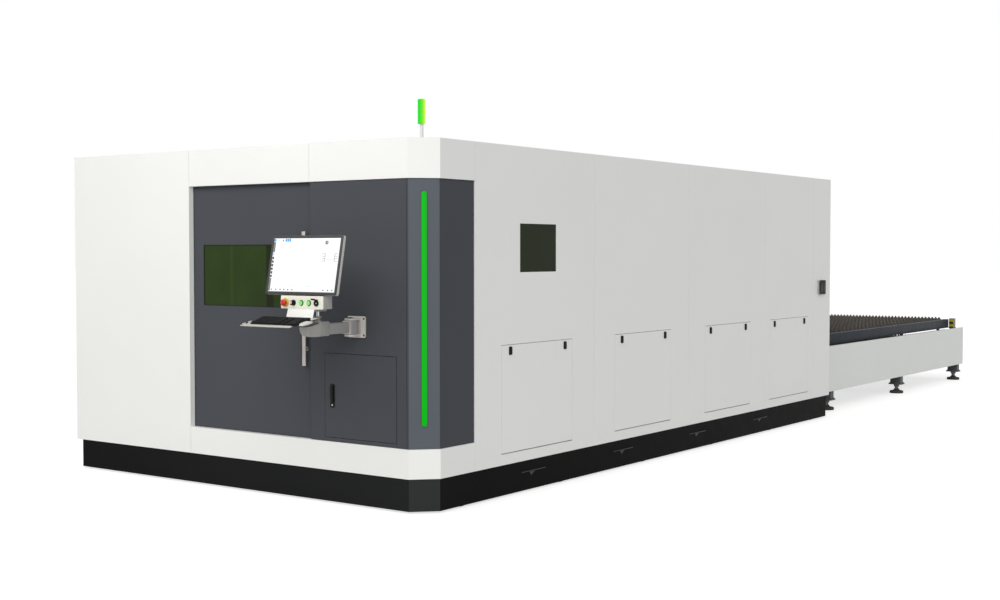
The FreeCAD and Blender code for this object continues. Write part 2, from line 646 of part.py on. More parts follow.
def make_enclosure_frame():
    """Posts at the seams, roof rails, the door's portal and its two tracks."""
    outer = f"({RIGHT} - fold - run)"
    inner = f"({outer} - post)"
    rail_z = ("encl_top - 10 - post", "encl_top - 10")
    post_z = ("base_top", "encl_top - 10 - post")
    rear = f"({REAR} - fold - run)"
    first = f"{FRONT} + {SEAMS[0]} + 20"
    members = []
    posts = [first] + [f"{FRONT} + {s} - post/2" for s in SEAMS[1:5]] + [f"{rear} - post"]
    for i, y in enumerate(posts):
        members += pair(f"wall_post_{i + 1}", inner, outer, (y, f"{y} + post"), post_z)
        members.append(box(f"roof_rail_{i + 1}", (f"-{inner}", inner), (y, f"{y} + post"), rail_z))
    front_y = (f"{FRONT} + leaf_in + leaf_t + 10", f"{FRONT} + leaf_in + leaf_t + 10 + post")
    corner_x = f"({RIGHT} - corner - fold)"
    members.append(box("roof_side_right", (inner, outer), (first, rear), rail_z))
    members.append(box("roof_side_left", (f"-{outer}", f"-{inner}"), (front_y[1], rear), rail_z))
    members.append(box("roof_corner", (f"{corner_x} - post", corner_x), (front_y[1], first), rail_z))
    members.append(box("roof_front", (f"-{outer}", corner_x), front_y, rail_z))
    for i, x in enumerate((f"-{outer}", f"{DOOR_L} - post", f"{DOOR_R} + leaf_lap + 10",
                           f"{corner_x} - post")):
        members.append(box(f"front_post_{i + 1}", (x, f"{x} + post"), front_y, post_z))
    track_x = (f"{LEFT} + fold + seam", f"{DOOR_R} + leaf_lap + 10 + post")
    track_y = (f"{FRONT} + band_fold + run", front_y[0])
    top, low = "(header_low + leaf_lap + 10)", "(sill_top - leaf_lap)"
    members.append(box("upper_track", track_x, track_y, (top, f"{top} + track")))
    members.append(box("lower_track", track_x, track_y, (f"{low} - track", low)))
    members.append(box("rear_sill", (f"-{inner}", inner), (f"{rear} - 70", f"{rear} - 10"),
                       ("base_top", "base_top + post")))
    members += pair("rear_sill_pad", f"{BED_IN} - 50", f"{BED_IN}", (f"{rear} - 10", rear),
                    ("base_top", "base_top + post"))
    for i, z in enumerate(("sill_top + 600", "header_low - 80")):
        members.append(box(f"panel_mount_{i}", (f"{DOOR_R} + leaf_lap + 10", f"{DOOR_R} + leaf_lap + 60"),
                           (f"{FRONT} + dark_in + skin", front_y[0]), (z, f"{z} + 60")))
        members.append(box(f"corner_mount_{i}", (f"{corner_x} - post", f"{RIGHT} - corner - (dark_in + fold)*{BEND}"),
                           (f"{FRONT} + dark_in + fold + run", front_y[0]), (z, f"{z} + 60")))
    guide_y = (f"{rear} - shutter_t - 16", rear)
    members += pair("shutter_guide", "shutter_w/2 + run", f"{BED_IN} + 20", guide_y,
                    ("base_top + post", "mouth_top + shutter_h + 30"))
    node("enclosure_frame", group("frame_group", members))


# ---------------------------------------------------------------- front door and cabinet door


LEAF_X = (f"{DOOR_L} - leaf_lap", f"{DOOR_R} + leaf_lap")
LEAF_Z = ("sill_top - leaf_lap + run", "header_low + leaf_lap + 10 - run")


def make_front_door():
    """Sliding leaf with its window and pull handle."""
    glass_x = (f"{DOOR_L} + window_in", f"{DOOR_L} + window_in + window_w")
    glass_z = ("window_low", "window_low + window_h")
    opening = box("window_opening", glass_x,
                  (f"{FRONT} + leaf_in - 1", f"{FRONT} + leaf_in + leaf_t + 2"), glass_z)
    node("door_leaf", front_pan("leaf", LEAF_X, ("leaf_in", "(leaf_in + leaf_t)"), LEAF_Z, [opening]))
    node("door_window", box(
        "door_glass",
        (f"{glass_x[0]} - glass_lap", f"{glass_x[1]} + glass_lap"),
        (f"{FRONT} + leaf_in + skin", f"{FRONT} + leaf_in + skin + glass"),
        (f"{glass_z[0]} - glass_lap", f"{glass_z[1]} + glass_lap"),
    ))
    bar_y = f"{FRONT} + leaf_in - handle_gap - handle_t"
    mid = f"{DOOR_R} - handle_in"
    bar = prism(
        "handle_bar", "XY",
        [(f"{mid} - handle_w/2", bar_y), (f"{mid} + handle_w/2", bar_y),
         (f"{mid} + handle_w/2", f"{bar_y} + handle_t"), (f"{mid} - handle_w/2", f"{bar_y} + handle_t")],
        "handle_low", "handle_low + handle_len",
    )
    feet = [
        rod(f"handle_foot_{i}", "y", (mid, f"{bar_y} + handle_t - 1", z), "8", "handle_gap + 1", 12)
        for i, z in enumerate(("handle_low + handle_foot", "handle_low + handle_len - handle_foot"))
    ]
    node("door_handle", fuse("pull_handle", bar, *feet))


def make_cabinet_door():
    """Folded door with its lock plate, and the lever that lifts out of it."""
    face = f"{FRONT} + dark_in"
    blank = prism(
        "cabinet_blank", "XZ",
        [(CAB_L, "cab_low"), (CAB_R, "cab_low"), (CAB_R, "cab_low + cab_h"), (CAB_L, "cab_low + cab_h")],
        face, f"{face} + cab_t",
    )
    inside = box("cabinet_inside", (f"{CAB_L} + skin", f"{CAB_R} - skin"),
                 (f"{face} + skin", f"{face} + cab_t + 1"),
                 ("cab_low + skin", "cab_low + cab_h - skin"))
    lock_l = f"({CAB_L} + lock_in)"
    plate = prism(
        "lock_plate", "XZ",
        [(lock_l, "lock_low"), (f"{lock_l} + lock_w", "lock_low"),
         (f"{lock_l} + lock_w", "lock_low + lock_h"), (lock_l, "lock_low + lock_h")],
        f"{face} - 3", face, rounding="6",
    )
    bore = rod("cabinet_bore", "z", (f"{CAB_R} - pivot_edge", f"{face} + pivot_back", "cab_low - 1"),
               "pivot_r + run", "cab_h + 2", 12)
    node("cabinet_door", group("cabinet_group", [cut("cabinet_pan", blank, inside, bore), plate]))
    grip = prism(
        "lock_grip", "YZ",
        [(f"{face} - 3 - run", "lock_low + 37"), (f"{face} - 3 - run", "lock_low + lock_h - 10"),
         (f"{face} - 13", "lock_low + lock_h - 10"), (f"{face} - 16", "lock_low + lock_h - 30"),
         (f"{face} - 12", "lock_low + 34"), (f"{face} - 7", "lock_low + 34")],
        f"{lock_l} + 9", f"{lock_l} + lock_w - 9",
    )
    barrel = rod("lock_pivot", "x", (f"{lock_l} + 9", f"{face} - 6.8", "lock_low + 37"), "3", "lock_w - 18")
    node("cabinet_handle", fuse("lock_lever", grip, barrel))


# ---------------------------------------------------------------- service hatches


def make_hatch(number, mid):
    """Folded hatch hinged along its bottom edge, and its two quarter-turn latches."""
    y = (f"{mid} - hatch_w/2", f"{mid} + hatch_w/2")
    blank = box(f"hatch_blank_{number}", (f"{RIGHT} - hatch_t", RIGHT), y, ("hatch_low", "hatch_top"))
    inside = box(
        f"hatch_inside_{number}", (f"{RIGHT} - hatch_t - 1", f"{RIGHT} - skin"),
        (f"{y[0]} + skin", f"{y[1]} - skin"), ("hatch_low + skin", "hatch_top - skin"),
    )
    z = "(hatch_top - latch_down)"
    holes = [rod(f"pivot_bore_{number}", "y",
                 (f"{RIGHT} - pivot_back", f"{y[0]} - 1", "hatch_low + pivot_edge"),
                 "pivot_r + 2*run", "hatch_w + 2", 8)]
    for side, letter in ((-1, "a"), (1, "b")):
        latch_y = f"({mid} + {side}*latch_apart/2)"
        holes.append(rod(f"latch_hole_{number}{letter}", "x",
                         (f"{RIGHT} - hatch_t - 2", latch_y, z), "8 + 4*run", "hatch_t + 4", 8))
        make_latch(f"latch_{number}{letter}", latch_y, z, -side)
    node(f"hatch_{number}", cut(f"hatch_pan_{number}", blank, inside, *holes))


def make_latch(name, y, z, inward):
    """Upright grip on the face, shaft through the hatch, tongue lying behind it."""
    grip = prism(
        name + "_grip", "YZ",
        [(f"{y} - latch_w/2", f"{z} - latch_h/2"), (f"{y} + latch_w/2", f"{z} - latch_h/2"),
         (f"{y} + latch_w/2", f"{z} + latch_h/2"), (f"{y} - latch_w/2", f"{z} + latch_h/2")],
        f"{RIGHT} + run", f"{RIGHT} + 9",
    )
    shaft = rod(name + "_shaft", "x", (f"{RIGHT} - hatch_t - 6", y, z), "8", "hatch_t + 7", 8)
    ends = sorted((f"{y} - 9*{inward}", f"{y} + tongue*{inward}"), key=lambda f: "tongue" in f)
    if inward < 0:
        ends.reverse()
    tongue = box(name + "_tongue", (f"{RIGHT} - hatch_t - 6", f"{RIGHT} - hatch_t - 2"),
                 (ends[0], ends[1]), (f"{z} - 9", f"{z} + 9"))
    node(name, fuse(name + "_body", grip, shaft, tongue))


# ---------------------------------------------------------------- feet, bed and inner equipment


def foot(name, x, y, top, neck):
    """Levelling foot: disc on the floor and threaded stud, with a cone and a nut under a table leg."""
    parts = [rod(name + "_disc", "z", (x, y, "0"), "foot_r", "30" if neck else "12", 10 if neck else 8)]
    if neck:
        parts.append(rod(name + "_neck", "z", (x, y, "30"), "28", "20", 8))
        parts.append(rod(name + "_stud", "z", (x, y, "50"), "21", f"{top} - 50", 6))
    else:
        parts.append(rod(name + "_stud", "z", (x, y, "12"), "18", f"{top} - 12", 6))
    return fuse(name, *parts)


def leg_places():
    """Right and left axis of each pair of table legs."""
    x = f"({COVER_OUT} - leg_in)"
    rows = [f"({REAR} + leg_first + {i}*leg_pitch)" for i in range(3)]
    return [(side, y) for y in rows for side in (x, f"-{x}")]


def make_feet():
    x = f"({BED_OUT} - 20)"
    rows = [f"({FRONT} + foot_first + {i}*foot_pitch)" for i in range(5)]
    rows.append(f"({REAR} - foot_last)")
    places = [(side, y) for y in rows for side in (x, f"-{x}")]
    feet = [foot(f"machine_foot_{i + 1}", *p, "base_low", False) for i, p in enumerate(places)]
    feet += [foot(f"table_foot_{i + 1}", *p, "leg_low", True) for i, p in enumerate(leg_places())]
    node("levelling_feet", group("feet_group", feet))


def make_bed():
    """Base tubes, cross tubes, posts between the hatches, upper beams and wheel rails."""
    start = f"{FRONT} + bed_first"
    base_z = ("base_low", "base_top")
    wide = f"({RIGHT} - skirt_left_in - skirt_sheet - run)"
    corner_x = f"{RIGHT} - corner - fold"
    members = pair("base_tube", BED_IN, wide, (start, f"{REAR} - skirt_rear_in - skirt_sheet - run"), base_z)
    members.append(box("front_tube", (f"-{wide}", corner_x), (f"{start} - beam_w", start), base_z))
    last = "(encl_len - bed_last - beam_w/2)"
    for i, seam in enumerate(["(bed_first + beam_w/2)"] + SEAMS[1:4] + [last]):
        y = (f"{FRONT} + {seam} - beam_w/2", f"{FRONT} + {seam} + beam_w/2")
        members.append(box(f"cross_tube_{i + 1}", (f"-{BED_IN}", BED_IN), y, base_z))
        members += pair(f"bed_post_{i + 1}", BED_IN, BED_OUT, y, ("base_top", "bed_top - bed_beam_h"))
    beam_y = (start, f"{FRONT} + {last} + beam_w/2")
    members += pair("upper_beam", BED_IN, BED_OUT, beam_y, ("bed_top - bed_beam_h", "bed_top"))
    rail_y = (f"{FRONT} + cut_start - 20", beam_y[1])
    members += pair("wheel_rail", f"{BED_IN} - rail_w", BED_IN, rail_y, ("rail_top - rail_t", "rail_top"))
    brackets = [f"{FRONT} + {s} - beam_w/2" for s in SEAMS[1:4] + [last]]
    for i, y in enumerate(brackets):
        members += pair(f"rail_bracket_{i + 1}", f"{BED_IN} - rail_w", BED_IN, (f"{y} + 20", f"{y} + 80"),
                        ("rail_top - rail_t - 60", "rail_top - rail_t"))
    floor_end = f"{HATCH_MIDS[0]} - bin_w/2 - 20"
    members.append(box("floor_plate", (f"-{BED_IN}", BED_IN), (f"{start} + beam_w", floor_end),
                       ("base_top - 6", "base_top")))
    for i, mid in enumerate(HATCH_MIDS):
        for j, shift in enumerate(("- bin_w/2 + 60", "+ bin_w/2 - 100")):
            y = f"{mid} {shift}"
            members.append(box(f"bin_runner_{i + 1}{j + 1}", (f"{BED_IN} - bin_len", BED_IN),
                               (y, f"{y} + 40"), ("base_top - 40", "base_top")))
    node("bed_frame", group("bed_group", members))


def make_gantry_rails():
    """Guide and rack on each upper beam."""
    y = (f"{FRONT} + rails_first", f"{REAR} - rails_first")
    mid = f"({BED_IN} + 38)"
    z = ("bed_top", "bed_top + guide_h")
    rails = pair("guide", f"{mid} - guide_w/2", f"{mid} + guide_w/2", y, z)
    rails += pair("rack", f"{BED_OUT} - rack - 2", f"{BED_OUT} - 2", y, ("bed_top", "bed_top + rack"))
    node("gantry_rails", group("rails_group", rails))


def make_slag_bins():
    """Sheet-metal bins that draw out through the hatches."""
    bins = []
    for i, mid in enumerate(HATCH_MIDS):
        x = (f"{BED_IN} - bin_len + 40", f"{BED_IN} + 40")
        y = (f"{mid} - bin_w/2", f"{mid} + bin_w/2")
        z = ("base_top + run", "base_top + run + bin_h")
        inner = [(f"{a} + skin", f"{b} - skin") for a, b in (x, y)]
        blank = box(f"bin_blank_{i + 1}", x, y, z)
        bins.append(cut(f"bin_{i + 1}", blank,
                        box(f"bin_hollow_{i + 1}", *inner, (f"{z[0]} + skin", f"{z[1]} + 1"))))
    node("slag_bins", group("bins_group", bins))


def make_inner_cabinets():
    """Electrical cabinet behind the cabinet door, with its computer, and the laser source."""
    x = (f"{CAB_L} - 40", f"{CAB_R} + 20")
    y = (f"{FRONT} + bed_first", f"{FRONT} + bed_first + 400")
    z = ("base_top", "base_top + 900")
    shell = cut(
        "electric_shell", box("electric_blank", x, y, z),
        box("electric_hollow", (f"{x[0]} + skin", f"{x[1]} - skin"), (f"{y[0]} - 1", f"{y[1]} - skin"),
            (f"{z[0]} + skin", f"{z[1]} - skin")),
    )
    computer = box("computer", (f"{x[1]} - skin - 190", f"{x[1]} - skin - 10"),
                   (f"{y[1]} - skin - 360", f"{y[1]} - skin - 20"), (f"{z[0]} + skin", f"{z[0]} + skin + 400"))
    plate = box("mounting_plate", (f"{x[0]} + skin + 20", f"{x[1]} - skin - 20"),
                (f"{y[1]} - skin - 12", f"{y[1]} - skin"), (f"{z[0]} + 460", f"{z[1]} - 40"))
    source = box("laser_source", (f"-{BED_IN} + 60", f"-{BED_IN} + 960"), y, ("base_top", "base_top + 1000"))
    node("inner_cabinets", group("cabinets_group", [shell, computer, plate, source]))


def make_tower():
    """Signal tower: flange and pole on the roof, green lens on top."""
    x, y = f"{RIGHT} - tower_in", f"{FRONT} + tower_in"
    roof = "(encl_top - 10 + skin)"
    top = f"({roof} + tower_pole + 7)"
    flange = rod("tower_flange", "z", (x, y, roof), "32", "6", 16)
    pole = rod("tower_pole", "z", (x, y, f"{roof} + 6"), "11", "tower_pole + 1", 12)
    node("signal_pole", fuse("tower_stand", flange, pole))
    node("signal_lens", rod("tower_lens", "z", (x, y, top), "lens_r", "lens_h", 16))


def make_side_box():
    y = f"{FRONT} + box_first"
    node("side_control_box", prism(
        "side_box", "YZ",
        [(y, "box_low"), (f"{y} + box_w", "box_low"), (f"{y} + box_w", "box_low + box_h"),
         (y, "box_low + box_h")],
        RIGHT, f"{RIGHT} + box_t", rounding="6",
    ))


# ---------------------------------------------------------------- gantry


def make_gantry():
    """Beam across the bed on two saddles, with the guides of the cross carriage."""
    y = (f"{FRONT} + gantry_y - gantry_w", f"{FRONT} + gantry_y")
    z = ("gantry_low", "gantry_low + gantry_h")
    ends = f"({BED_OUT} - 2)"
    beam = box("cross_beam", (f"-{ends}", ends), y, z)
    saddle_z = ("bed_top + guide_h + run", "gantry_low")
    saddles = pair("saddle", f"{BED_IN} + 6", ends, (f"{y[0]} - 60", f"{y[1]} + 60"), saddle_z)
    rails = [
        box(f"cross_guide_{i}", (f"-{ends} + 80", f"{ends} - 80"), (f"{y[0]} - guide_h", y[0]),
            (f"{low}", f"{low} + guide_w"))
        for i, low in enumerate(("gantry_low + 20", "gantry_low + gantry_h - guide_w - 20"))
    ]
    node("gantry_beam", group("gantry_group", [beam, *saddles, *rails]))


def make_carriage():
    """Cross carriage with the motor of the height axis and its two guides."""
    back = f"({FRONT} + gantry_y - gantry_w - guide_h - run)"
    low = "(gantry_low - 20)"
    plate = prism(
        "carriage_plate", "XZ",
        [("-carriage_w/2", low), ("carriage_w/2", low), ("carriage_w/2", f"{low} + carriage_h"),
         ("-carriage_w/2", f"{low} + carriage_h")],
        f"{back} - 25", back, rounding="20",
    )
    motor = box("height_motor", ("-50", "50"), (f"{back} - 125", f"{back} - 25"),
                (f"{low} + carriage_h - 110", f"{low} + carriage_h + 60"))
    guides = pair("height_guide", "62", "82", (f"{back} - 45", f"{back} - 25"),
                  (f"{low} + 10", f"{low} + carriage_h - 120"))
    node("cross_carriage", group("carriage_group", [plate, motor, *guides]))


def make_head():
    """Cutting head: slide block, collimator, focus body, sensor ring and nozzle."""
    back = f"({FRONT} + gantry_y - gantry_w - guide_h - run - 45)"
    low = "(gantry_low - 20)"
    block = box("head_block", ("-90", "90"), (f"{back} - run - 30", f"{back} - run"),
                (f"{low} + 40", f"{low} + 210"))
    axis_y = f"({back} - run - 30 - 34)"
    barrel = [
        rod("head_nozzle", "z", ("0", axis_y, "nozzle_low"), "12", "20", 12),
        rod("head_sensor", "z", ("0", axis_y, "nozzle_low + 20"), "27", "40", 16),
        rod("head_optics", "z", ("0", axis_y, "nozzle_low + 60"), "36", "300", 16),
    ]
    node("cutting_head", fuse("head", block, *barrel))


# ---------------------------------------------------------------- exchange table


TABLE_Y = (f"{REAR} + run", END)


def make_side_covers():
    """Long side covers of folded sheet with rounded free corners."""
    covers = []
    for side in (1, -1):
        name = "right" if side > 0 else "left"
        x = (COVER_IN, COVER_OUT) if side > 0 else (f"-{COVER_OUT}", f"-{COVER_IN}")
        outline = [(TABLE_Y[0], "cover_low"), (TABLE_Y[1], "cover_low"),
                   (TABLE_Y[1], "cover_top"), (TABLE_Y[0], "cover_top")]
        end = value_of(END)
        covers.append(prism(f"cover_{name}", "YZ", outline, *x, rounding="cover_round",
                            corners=lambda p, end=end: p.y > end - 1))
    node("table_side_covers", group("covers_group", covers))


def value_of(formula):
    """The formula's value in millimetres, read through a scratch box."""
    scratch = doc.addObject("Part::Box", "scratch")
    scratch.setExpression("Placement.Base.x", bound(formula))
    doc.recompute()
    value = scratch.Placement.Base.x
    doc.removeObject(scratch.Name)
    return value


def make_table_frame():
    """Legs with base flanges, longitudinal and cross beams, and the end stops."""
    members = []
    in_x = f"({COVER_IN} - leg_w)"
    for i, (x, y) in enumerate(leg_places()):
        members.append(box(f"leg_{i + 1}", (f"{x} - leg_w/2", f"{x} + leg_w/2"),
                           (f"{y} - leg_d/2", f"{y} + leg_d/2"), ("leg_low + 15", "cover_low + 10")))
        members.append(box(f"leg_flange_{i + 1}", (f"{x} - leg_w/2 - 14", f"{x} + leg_w/2 + 14"),
                           (f"{y} - leg_d/2 - 14", f"{y} + leg_d/2 + 14"), ("leg_low", "leg_low + 15")))
    beam_z = ("cover_low + 10", "cover_low + 90")
    members += pair("table_beam", in_x, COVER_IN, (TABLE_Y[0], f"{END} - 20"), beam_z)
    for i in range(3):
        y = f"{REAR} + leg_first + {i}*leg_pitch"
        members.append(box(f"table_cross_{i + 1}", (f"-{in_x}", in_x), (f"{y} - 50", f"{y} + 50"), beam_z))
    lift_out = f"({LIFT_IN} + lift_plate + run)"
    for i in range(4):
        y = f"{REAR} + 300 + {i}*(table_len - stop_in - 700)/3"
        members += pair(f"lift_guide_{i + 1}", lift_out, COVER_IN, (y, f"{y} + 90"),
                        ("cover_low + 90", "cover_top"))
    stop_y = f"{END} - stop_in"
    stop_x = f"({COVER_IN} - 50)"
    members += pair("stop_column", stop_x, COVER_IN, (f"{stop_y}", f"{stop_y} + 70"),
                    ("cover_low + 90", "cover_top"))
    members += pair("stop_base", f"{stop_x} - 12", COVER_IN, (f"{stop_y} - 12", f"{stop_y} + 82"),
                    ("cover_top", "cover_top + 10"))
    members += pair("end_stop", stop_x, f"{COVER_IN} - 2", (f"{stop_y}", f"{stop_y} + 70"),
                    ("cover_top + 10", "cover_top + 120"))
    node("table_frame", group("table_group", members))


def make_lift():
    """Lift frame: side plates, two levels of wheel rails and the cross beams under them."""
    y = (f"{REAR} + 20", f"{END} - stop_in - 30")
    out = f"({LIFT_IN} + lift_plate)"
    low_rail = "(rail_top - level)"
    members = pair("lift_plate_bar", LIFT_IN, out, y, (f"{low_rail} - rail_t", "rail_top"))
    for name, top in (("upper", "rail_top"), ("lower", low_rail)):
        members += pair(f"{name}_rail", f"{LIFT_IN} - 60", LIFT_IN, y, (f"{top} - rail_t", top))
    for i in range(4):
        start = f"{REAR} + 60 + {i}*(table_len - stop_in - 250)/3"
        members.append(box(f"lift_cross_{i + 1}", (f"-({out})", out), (start, f"{start} + 80"),
                           (f"{low_rail} - rail_t - 60", f"{low_rail} - rail_t")))
    node("lift_frame", group("lift_group", members))


def make_pallet(name, drop):
    """Pallet frame: side rails, end rails, slat ledges and eight wheels on stub axles."""
    y = (f"{REAR} + table_gap", f"{REAR} + table_gap + pallet_len")
    low = f"(pallet_low - {drop})"
    top = f"({low} + pallet_rail_h)"
    inner = f"({PALLET} - pallet_rail_w)"
    places = [f"{y[0]} + wheel_first + {i}*wheel_pitch" for i in range(3)] + [f"{y[1]} - wheel_last"]
    slot = (f"{inner} + 14", f"{inner} + 14 + wheel_w")
    members = []
    for side, bar in zip(("right", "left"), pair(name + "_bar", inner, PALLET, y, (low, top))):
        slot_x = slot if side == "right" else (f"-({slot[1]})", f"-({slot[0]})")
        axle_z = f"rail_top - {drop} + wheel_r + run"
        pockets = []
        for i, wheel_y in enumerate(places):
            tag = f"{name}_{side}_{i + 1}"
            pockets.append(box(tag + "_pocket", slot_x, (f"{wheel_y} - wheel_r - 6", f"{wheel_y} + wheel_r + 6"),
                               (f"{low} - 1", f"{low} + wheel_r + 18")))
            members.append(rod(tag + "_wheel", "x", (slot_x[0], wheel_y, axle_z), "wheel_r", "wheel_w", 12))
        members.append(cut(f"{name}_side_{side}", bar, *pockets))
    end_z = (low, f"{top} - pallet_end_drop")
    for i, (start, end) in enumerate(((y[0], f"{y[0]} + 60"), (f"{y[1]} - 60", y[1]))):
        members.append(box(f"{name}_end_{i + 1}", (f"-{inner}", inner), (start, end), end_z))
    ledge_z = (f"{low} + 14", f"slat_top - {drop} - slat_h")
    members += pair(name + "_ledge", f"{inner} - 20", inner, (f"{y[0]} + 60", f"{y[1]} - 60"), ledge_z)
    node(name, group(name + "_group", members))


def slat_outline(half, bottom, top, pitch, tooth):
    """Corners of a saw-tooth slat seen from the end of the table."""
    count = max(2, round(2 * half / pitch))
    step = 2 * half / count
    corners = [(-half, bottom), (half, bottom), (half, top - tooth)]
    for i in range(count):
        right = half - i * step
        corners.append((right - step / 2, top))
        corners.append((right - step, top - tooth))
    return corners


def make_slats(name, drop):
    """The row of saw-tooth slats that stand on a pallet's ledges."""
    size = {key: doc.dims.get(key) for key in (
        "pallet_w", "pallet_rail_w", "slat_top", "slat_h", "slat_t", "slat_count", "tooth_pitch",
        "tooth_h", "pallet_len", "table_gap", "level")}
    rear = value_of(REAR)
    half = size["pallet_w"] / 2 - size["pallet_rail_w"] - 0.5
    top = size["slat_top"] - drop * size["level"]
    corners = slat_outline(half, top - size["slat_h"], top, size["tooth_pitch"], size["tooth_h"])
    first = rear + size["table_gap"] + 60
    room = size["pallet_len"] - 120
    pitch = room / size["slat_count"]
    slats = []
    for i in range(int(size["slat_count"])):
        y = first + (i + 0.5) * pitch - size["slat_t"] / 2
        points = [V(x, y, z) for x, z in corners]
        face = Part.Face(Part.makePolygon(points + points[:1]))
        slats.append(face.extrude(V(0, size["slat_t"], 0)))
    part = doc.addObject("Part::Feature", name + "_row")
    part.Shape = Part.makeCompound(slats)
    node(name, part)


def make_shutter():
    """Rear shutter door, drawn open above the pallet opening."""
    y = f"{REAR} - fold - seam - shutter_t - 8"
    node("rear_shutter", box(
        "shutter", ("-shutter_w/2", "shutter_w/2"), (y, f"{y} + shutter_t"),
        ("mouth_top + 5", "mouth_top + 5 + shutter_h"),
    ))


# ---------------------------------------------------------------- operator pendant


def make_bracket():
    """Wall plate with four bolts, two lugs and the pivot pin of the swing arm."""
    face = f"{FRONT} + dark_in"
    plate_y = (f"{face} - plate_t", face)
    plate = prism(
        "wall_plate", "XZ",
        [(f"{ARM_X} - plate_w/2", "bracket_z - plate_h/2"), (f"{ARM_X} + plate_w/2", "bracket_z - plate_h/2"),
         (f"{ARM_X} + plate_w/2", "bracket_z + plate_h/2"), (f"{ARM_X} - plate_w/2", "bracket_z + plate_h/2")],
        *plate_y, rounding="12",
    )
    pivot_y = f"({FRONT} - pivot_out)"
    lugs = []
    for i, z in enumerate(("bracket_z - lug_h/2", "bracket_z + lug_h/2 - 12")):
        lugs.append(box(f"lug_{i}", (f"{ARM_X} - 38", f"{ARM_X} + 38"), (pivot_y, f"{plate_y[0]}"),
                        (z, f"{z} + 12")))
        lugs.append(rod(f"lug_end_{i}", "z", (ARM_X, pivot_y, z), "38", "12", 20))
    pin = rod("bracket_pin", "z", (ARM_X, pivot_y, "bracket_z - lug_h/2"), "pin_r", "lug_h")
    bolts = []
    for i, (sx, sz) in enumerate(((-1, -1), (1, -1), (1, 1), (-1, 1))):
        bolts.append(rod(f"plate_bolt_{i}", "y",
                         (f"{ARM_X} + {sx}*(plate_w/2 - 16)", f"{plate_y[0]} - 6",
                          f"bracket_z + {sz}*(plate_h/2 - 16)"), "8", "7", 6))
    node("arm_bracket", fuse("bracket", plate, *lugs, pin, *bolts))


def make_swing_arm():
    """Knuckle on the bracket's pin, tapered arm and rounded elbow housing with the post's bore."""
    pivot_y = f"({FRONT} - pivot_out)"
    knuckle_z = ("(bracket_z - lug_h/2 + 12 + run)", "(bracket_z + lug_h/2 - 12 - run)")
    knuckle = rod("knuckle", "z", (ARM_X, pivot_y, knuckle_z[0]), "34", f"{knuckle_z[1]} - {knuckle_z[0]}", 20)
    arm = prism(
        "arm_bar", "YZ",
        [(pivot_y, "bracket_z - arm_h/2 + 4"), (f"{FRONT} - elbow_start - 20", "bracket_z - arm_h/2 - 4"),
         (f"{FRONT} - elbow_start - 20", "bracket_z + arm_h/2 + 4"), (pivot_y, "bracket_z + arm_h/2 - 4")],
        f"{ARM_X} - arm_w/2", f"{ARM_X} + arm_w/2",
    )
    front_end = value_of(f"{FRONT} - elbow_end")
    elbow = prism(
        "elbow", "XY",
        [(f"{ARM_X} - elbow_w/2", f"{FRONT} - elbow_end"), (f"{ARM_X} + elbow_w/2", f"{FRONT} - elbow_end"),
         (f"{ARM_X} + elbow_w/2", f"{FRONT} - elbow_start"), (f"{ARM_X} - elbow_w/2", f"{FRONT} - elbow_start")],
        "bracket_z - elbow_h/2", "bracket_z + elbow_h/2", rounding="elbow_w/2 - 2",
        corners=lambda p: p.y < front_end + 1,
    )
    pin_bore = rod("pin_bore", "z", (ARM_X, pivot_y, "bracket_z - lug_h"), "pin_r + run", "2*lug_h")
    post_bore = rod("post_bore", "z", (ARM_X, f"{FRONT} - post_out", "bracket_z - 20"),
                    "pin_r + run", "elbow_h")
    node("swing_arm", cut("arm", fuse("arm_blank", knuckle, arm, elbow), pin_bore, post_bore))


CONTROL_PLACES = ["-132", "-66", "-4", "-4 + button_pitch", "-4 + 2*button_pitch"]


def control_x(index):
    return f"({CONSOLE_X} + {CONTROL_PLACES[index]})"


FACE_Y = f"({FRONT} - console_out - face_t)"


